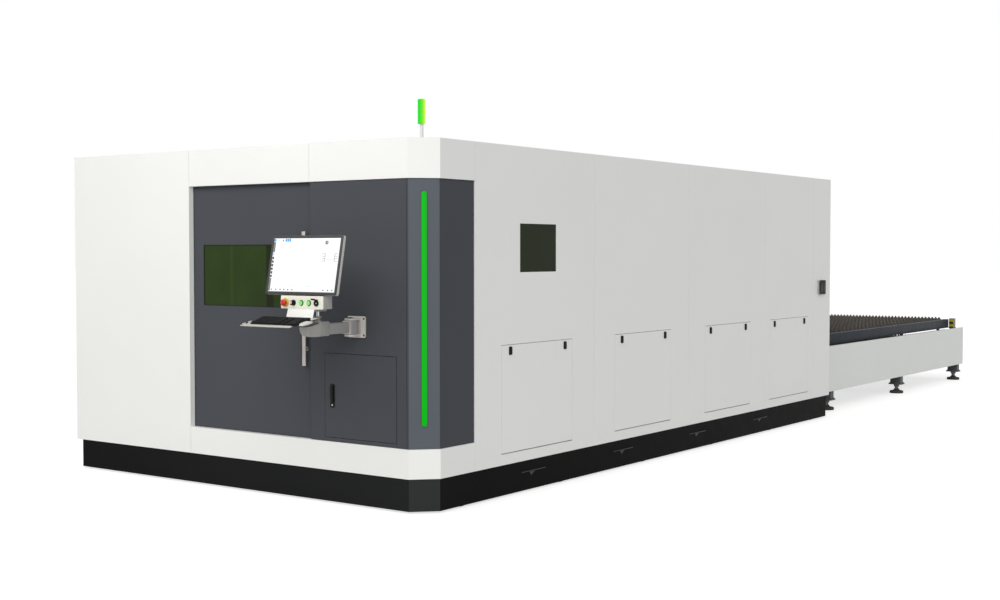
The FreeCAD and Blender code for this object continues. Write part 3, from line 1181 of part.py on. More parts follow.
def make_console():
    """Console box on its post, with the front plate, the stop's collar and the data port."""
    y = (f"{FRONT} - console_out", f"{FRONT} - console_out + console_d")
    x = (f"{CONSOLE_X} - console_w/2", f"{CONSOLE_X} + console_w/2")
    body = box("console_body", x, y, ("console_low", CONSOLE_TOP))
    low = value_of("console_low")
    face = prism(
        "console_face", "XZ",
        [(x[0], "console_low"), (x[1], "console_low"), (x[1], CONSOLE_TOP), (x[0], CONSOLE_TOP)],
        FACE_Y, f"{y[0]}", rounding="10", corners=lambda p: p.z < low + 1,
    )
    link = box("console_link", (f"{ARM_X} - 42", f"{ARM_X} + 42"),
               (f"{FRONT} - console_out + console_d - 24", f"{FRONT} - post_out + 34"),
               ("console_low - 18", "console_low"))
    post_y = f"{FRONT} - post_out"
    elbow_top = "(bracket_z + elbow_h/2)"
    post = rod("console_post", "z", (ARM_X, post_y, "bracket_z - 18"), "pin_r",
               "console_low - 18 - bracket_z + 18")
    collar = rod("post_collar", "z", (ARM_X, post_y, f"{elbow_top} + run"), "17", "8", 12)
    ring = rod("stop_collar", "y", (control_x(0), f"{FACE_Y} - 5", "button_z"), "24", "6", 16)
    bezels = [rod(f"bezel_{i}", "y", (control_x(i), f"{FACE_Y} - 5", "button_z"), "16", "6", 12)
              for i in (2, 3)]
    ear_y, ear_z = (f"{FACE_Y} - 15", f"{FACE_Y}"), ("button_z + 17", "button_z + 23")
    ear_end = value_of(ear_y[0])
    ears = [
        prism(f"port_ear_{i}", "YZ",
              [(ear_y[0], ear_z[0]), (ear_y[1], ear_z[0]), (ear_y[1], ear_z[1]), (ear_y[0], ear_z[1])],
              f"{control_x(4)} + {a}", f"{control_x(4)} + {b}", rounding="2.99",
              corners=lambda p: p.y < ear_end + 1)
        for i, (a, b) in enumerate(((-10, -6.3), (6.3, 10)))
    ]
    bores = [rod("stop_bore", "y", (control_x(0), f"{FACE_Y} - 6", "button_z"), "10 + 3*run", "16", 10)]
    bores += [rod(f"button_bore_{i}", "y", (control_x(i), f"{FACE_Y} - 6", "button_z"), "13 + 3*run", "16", 12)
              for i in (2, 3)]
    port = rod("data_port", "y", (control_x(4), f"{FACE_Y} - 9", "button_z"), "15", "10", 12)
    fork = [
        box(f"fork_{i}", (f"{CONSOLE_X} + {s} - 8", f"{CONSOLE_X} + {s} + 8"),
            (f"{FRONT} - console_out + console_d - 26", f"{FRONT} - console_out + console_d"),
            (CONSOLE_TOP, f"{CONSOLE_TOP} + 56"))
        for i, s in enumerate(("-60", "60"))
    ]
    pin = rod("tilt_pin", "x", (f"{CONSOLE_X} - 60", TILT_Y, TILT_Z), "5", "120")
    shell = fuse("console_blank", body, face, link, post, collar, ring, port, *ears, *bezels, *fork, pin)
    node("console_box", cut("console", shell, *bores))


TILT_Y = f"({FRONT} - console_out + console_d - 15)"
TILT_Z = f"({CONSOLE_TOP} + 43)"


def make_controls():
    """Emergency stop, selector knob, two push buttons and the data port's hinged cap."""
    stem = rod("stop_stem", "y", (control_x(0), f"{FACE_Y} - 11", "button_z"), "10", "9", 12)
    head = rod("stop_head", "y", (control_x(0), f"{FACE_Y} - 32", "button_z"), "20", "21", 16)
    node("estop_button", fuse("estop", stem, head))
    base = rod("knob_base", "y", (control_x(1), f"{FACE_Y} - run - 8", "button_z"), "15", "8", 16)
    bar = box("knob_bar", (f"{control_x(1)} - 4.5", f"{control_x(1)} + 4.5"),
              (f"{FACE_Y} - run - 24", f"{FACE_Y} - run - 7"), ("button_z - 16", "button_z + 16"))
    grip = doc.addObject("Part::Common", "knob_grip")
    grip.Base = bar
    grip.Tool = rod("knob_ends", "y", (control_x(1), f"{FACE_Y} - run - 25", "button_z"), "14.5", "20")
    node("selector_knob", fuse("knob", base, grip))
    for i in (2, 3):
        node(f"green_button_{i - 1}", rod(f"push_button_{i}", "y", (control_x(i), f"{FACE_Y} - 10", "button_z"),
                                          "13", "14", 12))
    hinge_y, hinge_z = f"({FACE_Y} - 12)", "(button_z + 20)"
    lid = rod("port_lid", "z", ("0", "-20", "-1.5"), "14", "4", 12)
    barrel = rod("port_hinge", "x", ("-6", "0", "0"), "2.5", "12", 8)
    strap = box("port_strap", ("-5", "5"), ("-9", "0"), ("-1.5", "1.5"))
    node("data_port_cap", place(fuse("port_cap", lid, barrel, strap), control_x(4), hinge_y, hinge_z,
                                Turn(V(1, 0, 0), -8)))


def make_monitor():
    """Monitor housing with its recessed screen and tilt knuckle, leaning back."""
    lean = Turn(V(1, 0, 0), -MONITOR_LEAN)
    at = (f"{CONSOLE_X} - monitor_off", f"{FRONT} - console_out + 8", f"{CONSOLE_TOP} + monitor_gap")
    half = "monitor_w/2"
    frame = prism(
        "monitor_frame", "XZ",
        [(f"-{half}", "0"), (half, "0"), (half, "monitor_h"), (f"-{half}", "monitor_h")],
        "0", "monitor_t", rounding="9",
    )
    recess = box("screen_recess", (f"-{half} + bezel", f"{half} - bezel"), ("-1", "5"),
                 ("bezel", "monitor_h - bezel"))
    back = prism(
        "monitor_back", "XZ",
        [("-160", "90"), ("160", "90"), ("160", "310"), ("-160", "310")],
        "monitor_t", "monitor_t + 18",
    )
    housing = cut("monitor_shell", fuse("monitor_blank", frame, back), recess)
    place(housing, *at, lean)
    knuckle = rod("tilt_knuckle", "x", (f"{CONSOLE_X} - 44", TILT_Y, TILT_Z), "13", "88", 12)
    arm = box("tilt_arm", (f"{CONSOLE_X} - 40", f"{CONSOLE_X} + 40"), (f"{TILT_Y} - 16", f"{TILT_Y} + 8"),
              (TILT_Z, f"{TILT_Z} + 55"))
    bore = rod("tilt_bore", "x", (f"{CONSOLE_X} - 90", TILT_Y, TILT_Z), "5 + 3*run", "180", 8)
    node("monitor_housing", cut("monitor", fuse("monitor_body", housing, knuckle, arm), bore))
    screen = box("screen", (f"-{half} + bezel + 0.5", f"{half} - bezel - 0.5"), ("2", "5"),
                 ("bezel + 0.5", "monitor_h - bezel - 0.5"))
    node("monitor_screen", place(group("screen_group", [screen]), *at, lean))


def make_tray():
    """Sloping keyboard tray on its bent support, with keyboard and mouse resting on it."""
    slope = Turn(V(1, 0, 0), TRAY_SLOPE)
    rear = f"({FACE_Y} - tray_out)"
    at = (CONSOLE_X, rear, "tray_z")
    left, split, right = "(-tray_left)", "(tray_w - tray_left)", "(tray_w + tray_wing - tray_left)"
    wing_end = value_of(right)
    plate = prism(
        "tray_plate", "XY",
        [(left, "0"), (left, "-tray_d"), (split, "-tray_d"), (split, "-tray_d + 30"),
         (right, "-tray_d + 30"), (right, "-tray_d + 150"), (split, "-tray_d + 150"), (split, "0")],
        "-3", "0", rounding="50", corners=lambda p: p.x > wing_end - 1,
    )
    lip = box("tray_lip", (left, split), ("-tray_d", "-tray_d + 3"), ("-3", "6"))
    left_lip = box("tray_left_lip", (left, f"{left} + 3"), ("-tray_d", "-tray_d + 60"), ("-3", "6"))
    tray = place(fuse("tray_sheet", plate, lip, left_lip), *at, slope)
    under = "(console_low - run)"
    support = prism(
        "tray_support", "YZ",
        [(f"{FACE_Y} + 44", under), (f"{FACE_Y}", under), (rear, "tray_z"), (rear, "tray_z - 3"),
         (f"{rear} + 3", "tray_z - 3"), (f"{FACE_Y} + 2", f"{under} - 3"), (f"{FACE_Y} + 44", f"{under} - 3")],
        f"{CONSOLE_X} - 104", f"{CONSOLE_X} + 124",
    )
    node("keyboard_tray", fuse("tray", tray, support))
    keys_l = f"({left} + 40)"
    near = "(-tray_d + 43)"
    board = prism(
        "keyboard_body", "YZ",
        [(near, "run"), (f"{near} + keyboard_d", "run"), (f"{near} + keyboard_d", "keyboard_t"),
         (f"{near} + keyboard_d - 30", "keyboard_t"), (near, "keyboard_t - 7")],
        keys_l, f"{keys_l} + keyboard_w",
    )
    node("keyboard", place(board, *at, slope))
    mouse_x = f"({split} + tray_wing/2)"
    heel = "(-tray_d + 34)"
    mouse = prism(
        "mouse_body", "YZ",
        [(heel, "run"), (f"{heel} + 112", "run"), (f"{heel} + 112", "14"), (f"{heel} + 88", "30"),
         (f"{heel} + 48", "32"), (f"{heel} + 6", "16")],
        f"{mouse_x} - 30", f"{mouse_x} + 30",
    )
    node("mouse", place(mouse, *at, slope))


# ---------------------------------------------------------------- build and write


def build():
    make_sheet()
    make_skirt()
    make_feet()
    make_bed()
    make_gantry_rails()
    make_slag_bins()
    make_front_panels()
    make_dark_panels()
    make_corner_light()
    make_right_wall()
    make_left_wall()
    make_rear_wall()
    make_roof()
    make_enclosure_frame()
    make_front_door()
    make_cabinet_door()
    for number, mid in enumerate(HATCH_MIDS, start=1):
        make_hatch(number, mid)
    make_inner_cabinets()
    make_tower()
    make_side_box()
    make_gantry()
    make_carriage()
    make_head()
    make_side_covers()
    make_table_frame()
    make_lift()
    make_pallet("upper_pallet", "0")
    make_slats("upper_slats", 0)
    make_pallet("lower_pallet", "level")
    make_slats("lower_slats", 1)
    make_shutter()
    make_bracket()
    make_swing_arm()
    make_console()
    make_controls()
    make_monitor()
    make_tray()
    doc.recompute()


def check():
    """Stops if any object failed or any sub-part has no sound shape."""
    for item in doc.Objects:
        if {"Invalid", "Error"} & set(item.State):
            raise RuntimeError(f"{item.Name} failed: {item.State}")
    for part in NODES:
        if part.Shape.isNull() or not part.Shape.isValid() or not part.Shape.Solids:
            raise RuntimeError(f"{part.Label} has no sound shape")
    names = [part.Label for part in NODES]
    if len(set(names)) != len(names):
        raise RuntimeError("two sub-parts share a name")


def write():
    os.makedirs("parts", exist_ok=True)
    for part in NODES:
        part.Shape.exportStep(f"parts/{part.Label}.step")
    print(len(NODES), "sub-parts written")


build()
check()
write()
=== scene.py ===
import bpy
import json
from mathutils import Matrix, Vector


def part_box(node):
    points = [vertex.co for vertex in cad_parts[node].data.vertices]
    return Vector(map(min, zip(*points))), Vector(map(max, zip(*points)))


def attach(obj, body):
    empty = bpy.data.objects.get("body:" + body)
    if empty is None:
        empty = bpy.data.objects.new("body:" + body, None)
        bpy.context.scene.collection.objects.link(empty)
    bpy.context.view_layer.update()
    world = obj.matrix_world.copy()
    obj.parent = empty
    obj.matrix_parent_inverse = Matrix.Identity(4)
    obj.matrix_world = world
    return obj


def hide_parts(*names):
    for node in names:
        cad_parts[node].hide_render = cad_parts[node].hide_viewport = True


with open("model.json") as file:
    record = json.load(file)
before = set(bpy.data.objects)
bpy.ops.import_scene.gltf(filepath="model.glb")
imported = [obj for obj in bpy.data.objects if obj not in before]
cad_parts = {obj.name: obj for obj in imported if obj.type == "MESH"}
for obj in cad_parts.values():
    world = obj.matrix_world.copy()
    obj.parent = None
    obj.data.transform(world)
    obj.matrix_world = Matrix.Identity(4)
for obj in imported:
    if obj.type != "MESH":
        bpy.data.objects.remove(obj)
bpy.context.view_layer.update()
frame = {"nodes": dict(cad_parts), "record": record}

# A sheet-metal laser cutting machine with its shuttle table. Lengths are in millimetres until a
# piece is finished, +Y runs from the operator's side to the table's far end, and +Z is up.
import json
from math import atan2, cos, pi, radians, sin

import bmesh
import bpy
from mathutils import Matrix, Vector

MM = 0.001
SMOOTH_BELOW = radians(32)
ROUNDED_ABOVE = radians(25)


def extent(node):
    """Lowest and highest corner of a CAD node, in mm."""
    low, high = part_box(node)
    return Vector(low) / MM, Vector(high) / MM


def middle(node):
    """Centre of a CAD node, in mm."""
    low, high = extent(node)
    return (low + high) / 2


def added(name, data):
    """A new object in the scene that shows data."""
    made = bpy.data.objects.new(name, data)
    bpy.context.scene.collection.objects.link(made)
    return made


# ---------------------------------------------------------------- node trees


def linked(tree, kind, inputs=None, **settings):
    """A node with its settings; an input is linked where it is given a socket, or else set."""
    made = tree.nodes.new(kind)
    for name, value in settings.items():
        setattr(made, name, value)
    for name, value in (inputs or {}).items():
        if isinstance(value, bpy.types.NodeSocket):
            tree.links.new(value, made.inputs[name])
        else:
            made.inputs[name].default_value = value
    return made


def socket_for(value):
    """The socket type that fits a value; a word names one that has no value of its own."""
    if isinstance(value, str):
        return value
    if isinstance(value, (int, float)):
        return "Int" if isinstance(value, int) else "Float"
    return "Color" if len(value) == 4 else "Vector"


def new_tree(name, kind, inputs, outputs):
    """A node group with named sockets: inputs with their values, outputs with their types."""
    tree = bpy.data.node_groups.new(name, kind)
    for label, value in inputs.items():
        made = tree.interface.new_socket(
            label, in_out="INPUT", socket_type="NodeSocket" + socket_for(value))
        if not isinstance(value, str):
            made.default_value = value
    for label, socket in outputs.items():
        tree.interface.new_socket(label, in_out="OUTPUT", socket_type="NodeSocket" + socket)
    return tree, tree.nodes.new("NodeGroupInput").outputs, tree.nodes.new("NodeGroupOutput").inputs


def worked(tree, how, *values):
    """What a maths node makes of its values."""
    return linked(tree, "ShaderNodeMath", dict(enumerate(values)), operation=how).outputs[0]


def place_on(tree):
    """Where a shaded point lies on its piece, in metres."""
    return linked(tree, "ShaderNodeTexCoord").outputs["Object"]


def share_of(tree, vector, axis):
    """One of the three values of a vector."""
    return linked(tree, "ShaderNodeSeparateXYZ", {0: vector}).outputs[axis]


def noise_of(tree, place, scale, detail=2.0, rough=0.5):
    """Cloudy noise, mostly between 0.3 and 0.7; scale is how often it turns in a metre."""
    return linked(tree, "ShaderNodeTexNoise", {
        "Vector": place, "Scale": scale, "Detail": detail, "Roughness": rough,
    }).outputs["Fac"]


def spread_of(tree, value, low, high, from_low=0.3, from_high=0.7, **settings):
    """A value between from_low and from_high, laid out between low and high."""
    return linked(tree, "ShaderNodeMapRange", {
        "Value": value, "From Min": from_low, "From Max": from_high, "To Min": low, "To Max": high,
    }, **settings).outputs["Result"]


def mixed(tree, share, first, second):
    """Two colours blended by a share; each of the three is a socket or a value."""
    made = linked(tree, "ShaderNodeMix", data_type="RGBA", blend_type="MIX")
    for socket, value in ((0, share), (6, first), (7, second)):
        if isinstance(value, bpy.types.NodeSocket):
            tree.links.new(value, made.inputs[socket])
        else:
            made.inputs[socket].default_value = value
    return made.outputs[2]


# ---------------------------------------------------------------- shader groups


def make_settled_dust():
    """How much dust lies on a place: most near the floor and on faces that look up."""
    tree, given, out = new_tree(
        "settled_dust", "ShaderNodeTree", {"Amount": 0.3, "Height": 0.5}, {"Mask": "Float"})
    place = place_on(tree)
    low = spread_of(tree, share_of(tree, place, "Z"), 1.0, 0.0, 0.0, given["Height"],
                    interpolation_type="SMOOTHSTEP")
    facing = linked(tree, "ShaderNodeNewGeometry").outputs["Normal"]
    lying = spread_of(tree, share_of(tree, facing, "Z"), 0.0, 0.6, 0.6, 1.0)
    patches = spread_of(tree, noise_of(tree, place, 7.0, 4.0), 0.25, 1.0)
    both = worked(tree, "MULTIPLY", worked(tree, "MAXIMUM", low, lying), patches)
    tree.links.new(worked(tree, "MULTIPLY", both, given["Amount"]), out["Mask"])
    return tree


DUST = make_settled_dust()
GRAIN = {"Color": "Color", "Roughness": "Float", "Normal": "Vector"}


def dust_mask(tree, amount):
    """The settled dust's mask in another tree."""
    return linked(tree, "ShaderNodeGroup", {"Amount": amount}, node_tree=DUST).outputs["Mask"]


def put_out(tree, out, color, roughness, bump):
    """Ends a grain group; bump holds its strength, its relief in metres and its height."""
    relief = linked(tree, "ShaderNodeBump", dict(zip(("Strength", "Distance", "Height"), bump)))
    for label, value in zip(GRAIN, (color, roughness, relief.outputs["Normal"])):
        tree.links.new(value, out[label])


def make_coat_grain():
    """Powder coat or moulded plastic: faint drift of tone, smudged gloss and a fine texture."""
    tree, given, out = new_tree("coat_grain", "ShaderNodeTree", {
        "Color": (0.8, 0.8, 0.8, 1), "Drift": 0.04, "Roughness": 0.45, "Smudge": 0.1,
        "Grain Size": 0.003, "Grain Depth": 0.15, "Dust": 0.2,
    }, GRAIN)
    place = place_on(tree)
    tone = spread_of(tree, noise_of(tree, place, 1.3, 3.0), -0.5, 0.5)
    shade = worked(tree, "ADD", worked(tree, "MULTIPLY", tone, given["Drift"]), 1.0)
    value = linked(tree, "ShaderNodeHueSaturation", {"Value": shade, "Color": given["Color"]})
    mask = dust_mask(tree, given["Dust"])
    smudge = spread_of(tree, noise_of(tree, place, 11.0, 5.0, 0.6), -0.5, 0.5)
    smudged = worked(tree, "MULTIPLY", smudge, given["Smudge"])
    gloss = worked(tree, "ADD", given["Roughness"], smudged)
    grain = noise_of(tree, place, worked(tree, "DIVIDE", 1.0, given["Grain Size"]), 2.0, 0.6)
    put_out(tree, out, mixed(tree, mask, value.outputs["Color"], (0.36, 0.33, 0.29, 1)),
            worked(tree, "ADD", gloss, worked(tree, "MULTIPLY", mask, 0.4)),
            (given["Grain Depth"], 0.0004, grain))
    return tree


def make_metal_grain():
    """Rolled, drawn or brushed metal: fine lines one way, with darker and duller patches."""
    tree, given, out = new_tree("metal_grain", "ShaderNodeTree", {
        "Color": (0.6, 0.6, 0.6, 1), "Tarnish": (0.3, 0.28, 0.25, 1), "Patches": 0.3,
        "Roughness": 0.3, "Lines": (1.0, 1.0, 1.0), "Line Depth": 0.1, "Dust": 0.1,
    }, GRAIN)
    place = place_on(tree)
    drawn = linked(tree, "ShaderNodeVectorMath", {0: place, 1: given["Lines"]},
                   operation="MULTIPLY")
    lines = noise_of(tree, drawn.outputs[0], 90.0, 3.0, 0.6)
    patches = spread_of(tree, noise_of(tree, place, 8.0, 5.0, 0.6), 0.0, 1.0, 0.45, 0.75)
    worn = mixed(tree, worked(tree, "MULTIPLY", patches, given["Patches"]), given["Color"],
                 given["Tarnish"])
    streaked = mixed(tree, worked(tree, "MULTIPLY", lines, 0.25), worn, given["Tarnish"])
    duller = worked(tree, "ADD", given["Roughness"], worked(tree, "MULTIPLY", patches, 0.18))
    put_out(tree, out, mixed(tree, dust_mask(tree, given["Dust"]), streaked, (0.3, 0.28, 0.26, 1)),
            worked(tree, "ADD", duller, worked(tree, "MULTIPLY", lines, 0.12)),
            (given["Line Depth"], 0.0003, lines))
    return tree


COAT = make_coat_grain()
METAL = make_metal_grain()


# ---------------------------------------------------------------- finishes


FINISH = {}


def finish(name):
    """A new material with its Principled shader, kept under that name."""
    made = bpy.data.materials.new(name)
    made.use_nodes = True
    FINISH[name] = made
    return made.node_tree, made.node_tree.nodes["Principled BSDF"]


def grained(name, group, color, values):
    """A material whose colour, gloss and relief come from a grain group."""
    tree, shader = finish(name)
    grain = linked(tree, "ShaderNodeGroup", {"Color": (*color, 1), **values}, node_tree=group)
    for label, socket in zip(GRAIN, ("Base Color", "Roughness", "Normal")):
        tree.links.new(grain.outputs[label], shader.inputs[socket])
    return tree, shader, grain


def coated(name, color, roughness=0.45, size=0.003, depth=0.15, drift=0.04, dust=0.1, shine=0.5):
    """Paint or plastic; size is that of its grain, in metres."""
    tree, shader, grain = grained(name, COAT, color, {
        "Drift": drift, "Roughness": roughness, "Grain Size": size, "Grain Depth": depth,
        "Dust": dust})
    shader.inputs["Specular IOR Level"].default_value = shine
    return tree, shader, grain


def metallic(name, color, roughness=0.3, tarnish=(0.3, 0.29, 0.27), patches=0.2, lines=(1, 1, 12),
             depth=0.1, dust=0.05, metal=1.0):
    """Bare or plated metal; lines says how close its grain lies along x, y and z."""
    _, shader, _ = grained(name, METAL, color, {
        "Tarnish": (*tarnish, 1), "Patches": patches, "Roughness": roughness, "Lines": lines,
        "Line Depth": depth, "Dust": dust})
    shader.inputs["Metallic"].default_value = metal


def glowing(name, color, glow, strength, roughness, **grain):
    """Plastic lit from within."""
    _, shader, _ = coated(name, color, roughness, dust=0.0, **grain)
    shader.inputs["Emission Color"].default_value = (*glow, 1)
    shader.inputs["Emission Strength"].default_value = strength


def make_hazard_paint(first, second, width):
    """Slanting stripes of two paints."""
    tree, _, grain = coated("hazard_paint", first, 0.4, drift=0.05)
    along = linked(tree, "ShaderNodeVectorMath", {0: place_on(tree), 1: (0.0, 1.0, 1.0)},
                   operation="DOT_PRODUCT")
    beat = worked(tree, "MODULO", worked(tree, "ADD", along.outputs["Value"], 10.0), 2 * width)
    which = worked(tree, "GREATER_THAN", beat, width)
    tree.links.new(mixed(tree, which, (*first, 1), (*second, 1)), grain.inputs["Color"])


def make_painted_sheen_paint(name, aside, facing, fade, drift):
    """Paint with a painted sheen: its colour is lighter where the surface is seen face on and
    darker where it is seen at a slant.
    """
    tree, _, grain = coated(name, facing, 0.45, depth=0.2, drift=drift, dust=0.0, shine=0.02)
    # Painted sheen: the colour follows how squarely the surface is seen.
    turned_away = linked(tree, "ShaderNodeLayerWeight", {"Blend": 0.5}).outputs["Facing"]
    share = spread_of(tree, turned_away, 1.0, 0.0, 0.02, fade)
    tree.links.new(mixed(tree, share, (*aside, 1), (*facing, 1)), grain.inputs["Color"])


def make_safety_glass(name, color, clear, post=None, reflection_at=None):
    """Filter glass: a dyed pane with a film of dirt, a painted dark band for the post behind it and
    a painted reflection as a pale streak.
    """
    tree, shader = finish(name)
    place = place_on(tree)
    film = spread_of(tree, noise_of(tree, place, 5.0, 4.0), 0.0, 1.0)
    shade = mixed(tree, film, (*color, 1), (*(1.25 * c for c in color), 1))
    # Painted dark band where the post stands behind the pane.
    if post:
        across = share_of(tree, place, "X")
        off = worked(tree, "ABSOLUTE", worked(tree, "SUBTRACT", across, sum(post) / 2))
        half = (post[1] - post[0]) / 2
        behind = spread_of(tree, off, 0.62, 0.0, half - 0.006, half + 0.006)
        shade = mixed(tree, behind, shade, (0.004, 0.004, 0.003, 1))
        # Painted reflection: a pale streak down the pane.
        away = worked(tree, "ABSOLUTE", worked(tree, "SUBTRACT", across, reflection_at))
        pale = (*(1.9 * c for c in color), 1)
        shade = mixed(tree, spread_of(tree, away, 0.5, 0.0, 0.003, 0.018), shade, pale)
    tree.links.new(shade, shader.inputs["Base Color"])
    tree.links.new(spread_of(tree, film, 0.06, 0.14, 0.0, 1.0), shader.inputs["Roughness"])
    shader.inputs["Transmission Weight"].default_value = clear
    shader.inputs["Specular IOR Level"].default_value = 0.06


def make_lens_green():
    """Green lens lit from within, with a painted highlight that turns its glow yellow towards one
    side.
    """
    tree, shader, _ = coated("lens_green", (0.02, 0.3, 0.02), 0.25, size=0.004, depth=0.05,
                             dust=0.0, shine=0.05)
    centre = middle("signal_lens") * MM
    off = linked(tree, "ShaderNodeVectorMath", {0: place_on(tree), 1: (centre.x, centre.y, 0.0)},
                 operation="SUBTRACT")
    along = linked(tree, "ShaderNodeVectorMath", {0: off.outputs[0], 1: (0.8, 0.6, 0.0)},
                   operation="DOT_PRODUCT")
    across = spread_of(tree, along.outputs["Value"], 0.0, 1.0, -0.025, 0.025)
    # Painted highlight: the glow turns yellow towards one side of the lens.
    painted_highlight_share = worked(tree, "POWER", across, 3.0)
    tree.links.new(mixed(tree, painted_highlight_share, (0.004, 0.5, 0.01, 1), (1.0, 1.0, 0.1, 1)),
                   shader.inputs["Emission Color"])
    shader.inputs["Emission Strength"].default_value = 0.85


coated("white_paint", (0.87, 0.875, 0.855), 0.42, depth=0.12, drift=0.02, dust=0.03)
# Dark and black paint carry a painted sheen: faces seen face on are lighter.
make_painted_sheen_paint("dark_paint", (0.074, 0.079, 0.09), (0.116, 0.128, 0.15), 0.22, 0.06)
make_painted_sheen_paint("black_paint", (0.0055, 0.0055, 0.0055), (0.032, 0.035, 0.034), 0.42, 0.15)
coated("frame_grey", (0.095, 0.102, 0.11), 0.42, depth=0.2, drift=0.12, dust=0.05, shine=0.1)
# Lighter than the skirt's black: a painted highlight on the jacking brackets.
coated("jack_bracket", (0.05, 0.053, 0.053), 0.4, depth=0.2, drift=0.1, dust=0.02, shine=0.1)
coated("light_steel", (0.68, 0.7, 0.68), dust=0.03)
coated("cover_white", (0.8, 0.82, 0.8), 0.4, depth=0.1, drift=0.02, dust=0.03)
coated("pallet_paint", (0.032, 0.038, 0.048), depth=0.25, drift=0.2, dust=0.02, shine=0.05)
coated("arm_paint", (0.36, 0.355, 0.345), 0.5, depth=0.25, drift=0.05, dust=0.03, shine=0.3)
coated("elbow_cast", (0.48, 0.465, 0.44), depth=0.3, drift=0.05, dust=0.02, shine=0.3)
coated("bracket_paint", (0.62, 0.58, 0.54), depth=0.2, drift=0.03, dust=0.02)
coated("monitor_shell", (0.5, 0.485, 0.46), 0.35, size=0.0012, depth=0.2, dust=0.02)
coated("key_black", (0.008, 0.008, 0.009), 0.6, size=0.0012, depth=0.35, dust=0.0, shine=0.15)
coated("console_cream", (0.86, 0.85, 0.74), depth=0.2, drift=0.02, dust=0.02)
coated("monitor_grey", (0.018, 0.019, 0.021), 0.4, size=0.0012, depth=0.3, dust=0.03)
coated("black_plastic", (0.01, 0.011, 0.0105), 0.42, size=0.0012, depth=0.35, dust=0.01, shine=0.12)
coated("white_plastic", (0.62, 0.62, 0.6), 0.4, size=0.0012, depth=0.25, dust=0.03)
coated("tray_paint", (0.6, 0.585, 0.56), depth=0.2, dust=0.02)
coated("stop_red", (0.55, 0.012, 0.012), 0.32, size=0.001, depth=0.1, dust=0.0)
coated("ring_yellow", (0.64, 0.46, 0.06), 0.35, size=0.001, depth=0.1, dust=0.0)
glowing("button_green", (0.03, 0.4, 0.03), (0.24, 0.76, 0.18), 0.6, 0.3, size=0.001, depth=0.1)
coated("rubber", (0.016, 0.016, 0.016), 0.7, size=0.002, depth=0.5, dust=0.15, shine=0.2)
coated("head_anodised", (0.1, 0.11, 0.13), 0.35, size=0.001, depth=0.1, dust=0.02)
metallic("handle_steel", (0.5, 0.47, 0.44), 0.42, lines=(14, 14, 0.6), metal=0.5)
metallic("bright_steel", (0.56, 0.56, 0.55), 0.24, lines=(2, 2, 14))
metallic("galvanised", (0.42, 0.43, 0.43), 0.42, tarnish=(0.26, 0.27, 0.27), patches=0.7,
         lines=(1, 1, 1))
metallic("slat_steel", (0.13, 0.116, 0.105), 0.55, tarnish=(0.075, 0.06, 0.05), patches=0.7,
         lines=(0.5, 1, 8), depth=0.3, dust=0.1, metal=0.6)
metallic("stud_black", (0.07, 0.07, 0.072), 0.4, lines=(1, 1, 30), depth=0.5, metal=0.5)
make_hazard_paint((0.36, 0.31, 0.02), (0.012, 0.012, 0.012), 0.03)
make_safety_glass("laser_glass", (0.021, 0.042, 0.006), 0.1, post=(0.27, 0.335), reflection_at=-0.058)
make_safety_glass("side_glass", (0.012, 0.019, 0.005), 0.08)
glowing("light_green", (0.005, 0.46, 0.012), (0.01, 0.55, 0.02), 0.1, 0.35, size=0.002, depth=0.1,
        shine=0.05)
make_lens_green()
glowing("screen", (0.02, 0.02, 0.022), (0.95, 0.97, 0.98), 1.0, 0.25, size=0.001, depth=0.0)
for shade_name, shade in (
        ("dark", (0.04, 0.045, 0.05)), ("blue", (0.06, 0.4, 0.85)), ("grey", (0.17, 0.17, 0.17)),
        ("pale", (0.62, 0.68, 0.74)), ("outline", (0.36, 0.37, 0.38)), ("faint", (0.75, 0.8, 0.8)),
        ("cyan", (0.5, 0.8, 0.78))):
    glowing("screen_" + shade_name, tuple(0.1 * c for c in shade), shade, 0.9, 0.25, size=0.001,
            depth=0.0)


# ---------------------------------------------------------------- making parts


def rounded(left, low, right, high, radius, steps=5):
    """Corner-rounded rectangle as an outline, anticlockwise from the low right corner."""
    outline = []
    for quarter, (x, z) in enumerate(((right, low), (right, high), (left, high), (left, low))):
        centre_x = x + (radius if x == left else -radius)
        centre_z = z + (radius if z == low else -radius)
        for step in range(steps + 1):
            angle = (quarter - 1 + step / steps) * pi / 2
            outline.append((centre_x + radius * cos(angle), centre_z + radius * sin(angle)))
    return outline


def ring_of(radius, count, x=0.0, y=0.0):
    """Points evenly round a centre."""
    return [(x + radius * cos(2 * pi * i / count), y + radius * sin(2 * pi * i / count))
            for i in range(count)]


ON_PLANE = {
    "x": lambda u, v, w: (w, u, v),
    "y": lambda u, v, w: (u, w, v),
    "z": lambda u, v, w: (u, v, w),
}
ALONG = {
    "z": Matrix.Identity(4),
    "x": Matrix.Rotation(pi / 2, 4, "Y"),
    "y": Matrix.Rotation(-pi / 2, 4, "X"),
}


def drum(radius, length, edge=1.0):
    """Profile of a plain round part with its two rims broken."""
    return [(0, 0), (radius - edge, 0), (radius, edge), (radius, length - edge),
            (radius - edge, length), (0, length)]


def hand_over(name, mesh, body, stands_for):
    """A finished mesh as a piece that rides on its body, in the place of any CAD nodes."""
    mesh.shade_smooth()
    mesh.set_sharp_from_angle(angle=SMOOTH_BELOW)
    made = added(name, mesh)
    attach(made, body)
    if stands_for:
        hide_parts(*stands_for)


